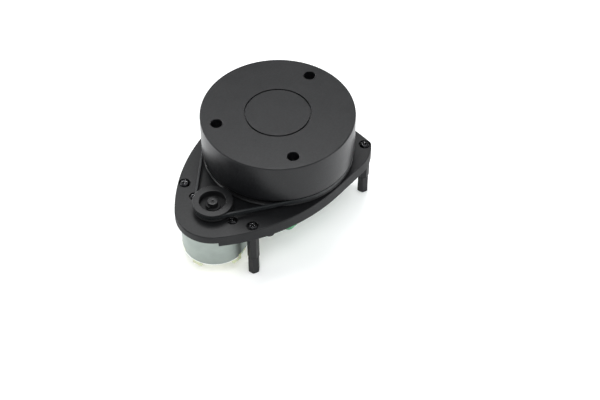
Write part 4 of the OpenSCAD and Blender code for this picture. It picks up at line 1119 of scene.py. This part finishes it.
def swept(points, radius_at):
    """Round tube along a curve; radius_at gives its radius at each share of the way."""
    side = Vector((0.3, 1, 0.1))
    sides = 20
    rings = []
    for i, p in enumerate(points):
        way = (points[min(i + 1, len(points) - 1)] - points[max(i - 1, 0)]).normalized()
        side = (side - way * side.dot(way)).normalized()
        up = way.cross(side)
        r = radius_at(i / (len(points) - 1))
        spokes = [2 * math.pi * k / sides for k in range(sides)]
        rings.append([p + r * (side * math.cos(a) + up * math.sin(a)) for a in spokes])
    return loft(rings)


def motor_lead(node, slot, material, way):
    """Motor lead: an insulated wire that narrows a little where it meets the terminal."""
    route = [(x, y * way, z) for x, y, z in RED_ROUTE]
    bm = swept(smooth_route(route, 72), lambda t: LEAD_R * (1 - 0.3 * max(0.0, t - 0.985) / 0.015))
    look(node, bm, "base", slot, material)


# ---- everything together

def make_base():
    """Pieces that stand still."""
    base_plate()
    drive_belt()
    standoffs("lower_standoffs", turn=36, stud=0.0)
    standoffs("upper_standoffs", turn=10, stud=4.7)
    screws("corner_screws", "base", "black_steel", OXIDE, head_h=1.5, shank_r=1.0)
    screws("motor_screws", "base", "black_steel", OXIDE, head_h=1.3, shank_r=1.0)
    screws("control_board_screws", "base", "bright_steel", STEEL, head_h=1.3, shank_r=0.85, down=True)
    screws("slip_ring_screws", "base", "bright_steel", STEEL, head_h=0.9, shank_r=0.55, down=True)
    motor_can()
    motor_end_cap()
    control_board()
    chips("control_chips", "base", BOARD_LOW.z, -1)
    small_parts("control_parts", "base", -1)
    for node, pins in (("data_socket", 4), ("control_socket", 3), ("motor_socket", 2)):
        pin_socket(node, pins)
    motor_plug()
    motor_lead("motor_lead_red", "wire_red", RED_WIRE, 1)
    motor_lead("motor_lead_black", "wire_black", BLACK_WIRE, -1)


def make_turning():
    """Pieces that turn with the scan head or the motor."""
    head_cap()
    turntable()
    screws("head_screws", "scan_head", "bright_steel", STEEL, head_h=1.5, shank_r=1.0, turned=HEAD)
    for node in ("ranging_board_screws", "bracket_screws"):
        screws(node, "scan_head", "bright_steel", STEEL, head_h=1.2, shank_r=0.75, turned=HEAD)
    ranging_board()
    board_top = corners("ranging_board")[1].z
    chips("ranging_chips", "scan_head", board_top, 1, HEAD)
    small_parts("ranging_parts", "scan_head", 1, HEAD)
    laser_y, receiver_y = -14, 13
    barrel("laser_barrel", "brass", BRASS, laser_y, radius=4.5, start=9, end=25,
           bores=[(2.82, 8, 11.5), (2, 11, 26), (3.2, 22.5, 26)])
    barrel("receiver_barrel", "dark_plastic", DARK, receiver_y, radius=7, start=12, end=26.5,
           bores=[(4.6, 11, 24), (5.7, 22.5, 27)])
    lens("laser_lens", laser_y, radius=3.15, z=23.9, bulge=0.6)
    lens("receiver_lens", receiver_y, radius=5.6, z=24.0, bulge=0.9)
    drive_pulley()


# CAD nodes that keep their own meshes: each material's nodes, and how far their edges are rounded.
DRESSED = (
    (STEEL, {"bearing_outer_race": 0.1, "bearing_inner_race": 0.1, "bearing_balls": 0,
             "retaining_ring": 0.05, "motor_shaft": 0.1, "motor_armature": 0.08}),
    (BRASS, {"motor_brushes": 0.03, "motor_terminals": 0.06, "motor_upper_bush": 0.08,
             "motor_lower_bush": 0.08, "motor_commutator": 0.04}),
    (GOLD, {"socket_pins": 0.06, "slip_ring_brushes": 0.04, "slip_ring_contacts": 0.03,
            "laser_diode": 0.06}),
    (DARK, {"slip_ring_body": 0.12, "slip_ring_rotor": 0.06, "optics_bracket": 0.25}),
    (EPOXY, {"image_sensor": 0.08, "sensor_header": 0.08}),
    (RED_WIRE, {"slip_ring_base_leads": 0, "slip_ring_head_leads": 0}),
    (MASK, {"sensor_board": 0.08}),
    (NYLON, {"bearing_cage": 0.08}),
    (FERRITE, {"motor_magnets": 0.15}),
    (COPPER, {"motor_windings": 0.4}),
)


def floor():
    """Plain pale ground under the part."""
    paint = Paint("floor", Roughness=0.6, Specular_IOR_Level=0.2, Emission_Strength=0.12)
    paint.shader.inputs["Emission Color"].default_value = (1, 1, 1, 1)
    paint.set("Base Color", paint.mix(paint.noise(60, 3), (0.91, 0.915, 0.92), (0.94, 0.945, 0.95)))
    mesh = bpy.data.meshes.new("floor")
    reach = 3.0
    mesh.from_pydata([(-reach, -reach, 0), (reach, -reach, 0), (reach, reach, 0), (-reach, reach, 0)], [],
                     [(0, 1, 2, 3)])
    mesh.materials.append(paint.material)
    link("floor", mesh)


def softbox(name, place, size, power):
    """Square studio light aimed at the part."""
    aim = Vector((0, 0, 0.03))
    light = bpy.data.lights.new(name, "AREA")
    light.shape = "SQUARE"
    light.size = size
    light.energy = power
    made = link(name, light)
    made.location = aim + place
    made.rotation_euler = (-place).to_track_quat("-Z", "Y").to_euler()


def studio():
    """Camera, surroundings and softboxes; low ones light the head's flanks, high ones its top."""
    lens_mm, place, ahead = 82.24, (0.31814, 0.28425, 0.48612), Vector((-0.51550, -0.42170, -0.74594))
    camera = bpy.data.cameras.new("camera")
    camera.lens, camera.sensor_width = lens_mm, 36
    camera.clip_start = 0.01
    view = link("camera", camera)
    view.location = place
    view.rotation_euler = ahead.to_track_quat("-Z", "Y").to_euler()
    bpy.context.scene.camera = view
    world = bpy.data.worlds.new("surroundings")
    world.use_nodes = True
    sky = world.node_tree.nodes["Background"].inputs
    sky["Color"].default_value = (0.94, 0.97, 1.0, 1)
    sky["Strength"].default_value = 0.35
    bpy.context.scene.world = world
    bpy.context.scene.view_settings.view_transform = "Standard"
    distance = 0.9
    back = Vector((ahead.x, ahead.y, 0)).normalized()
    right = ahead.cross((0, 0, 1)).normalized()
    # Each light's angle from straight behind the part towards the right, its height angle, size and power.
    for name, around, height, size, power in (
            ("left_low", 285, 8, 0.25, 2.5), ("left_back_low", 315, 12, 0.25, 1.8),
            ("left_edge", 266, 26, 0.2, 1.4), ("back_left_low", 335, 8, 0.25, 1.8),
            ("right_low", 60, 8, 0.25, 1.5), ("right_edge", 108, 10, 0.25, 1.8),
            ("right_high", 100, 45, 0.5, 1.5),
            ("back_high", 0, 68, 0.4, 6.0), ("front_high", 180, 60, 0.5, 3.6)):
        a, h = math.radians(around), math.radians(height)
        level = back * math.cos(a) + right * math.sin(a)
        softbox(name, (level * math.cos(h) + Vector((0, 0, math.sin(h)))) * distance, size, power)


make_base()
make_turning()
for dress_material, dressed_nodes in DRESSED:
    for dressed_node, rounding in dressed_nodes.items():
        dress(dressed_node, dress_material, rounding)
floor()
studio()
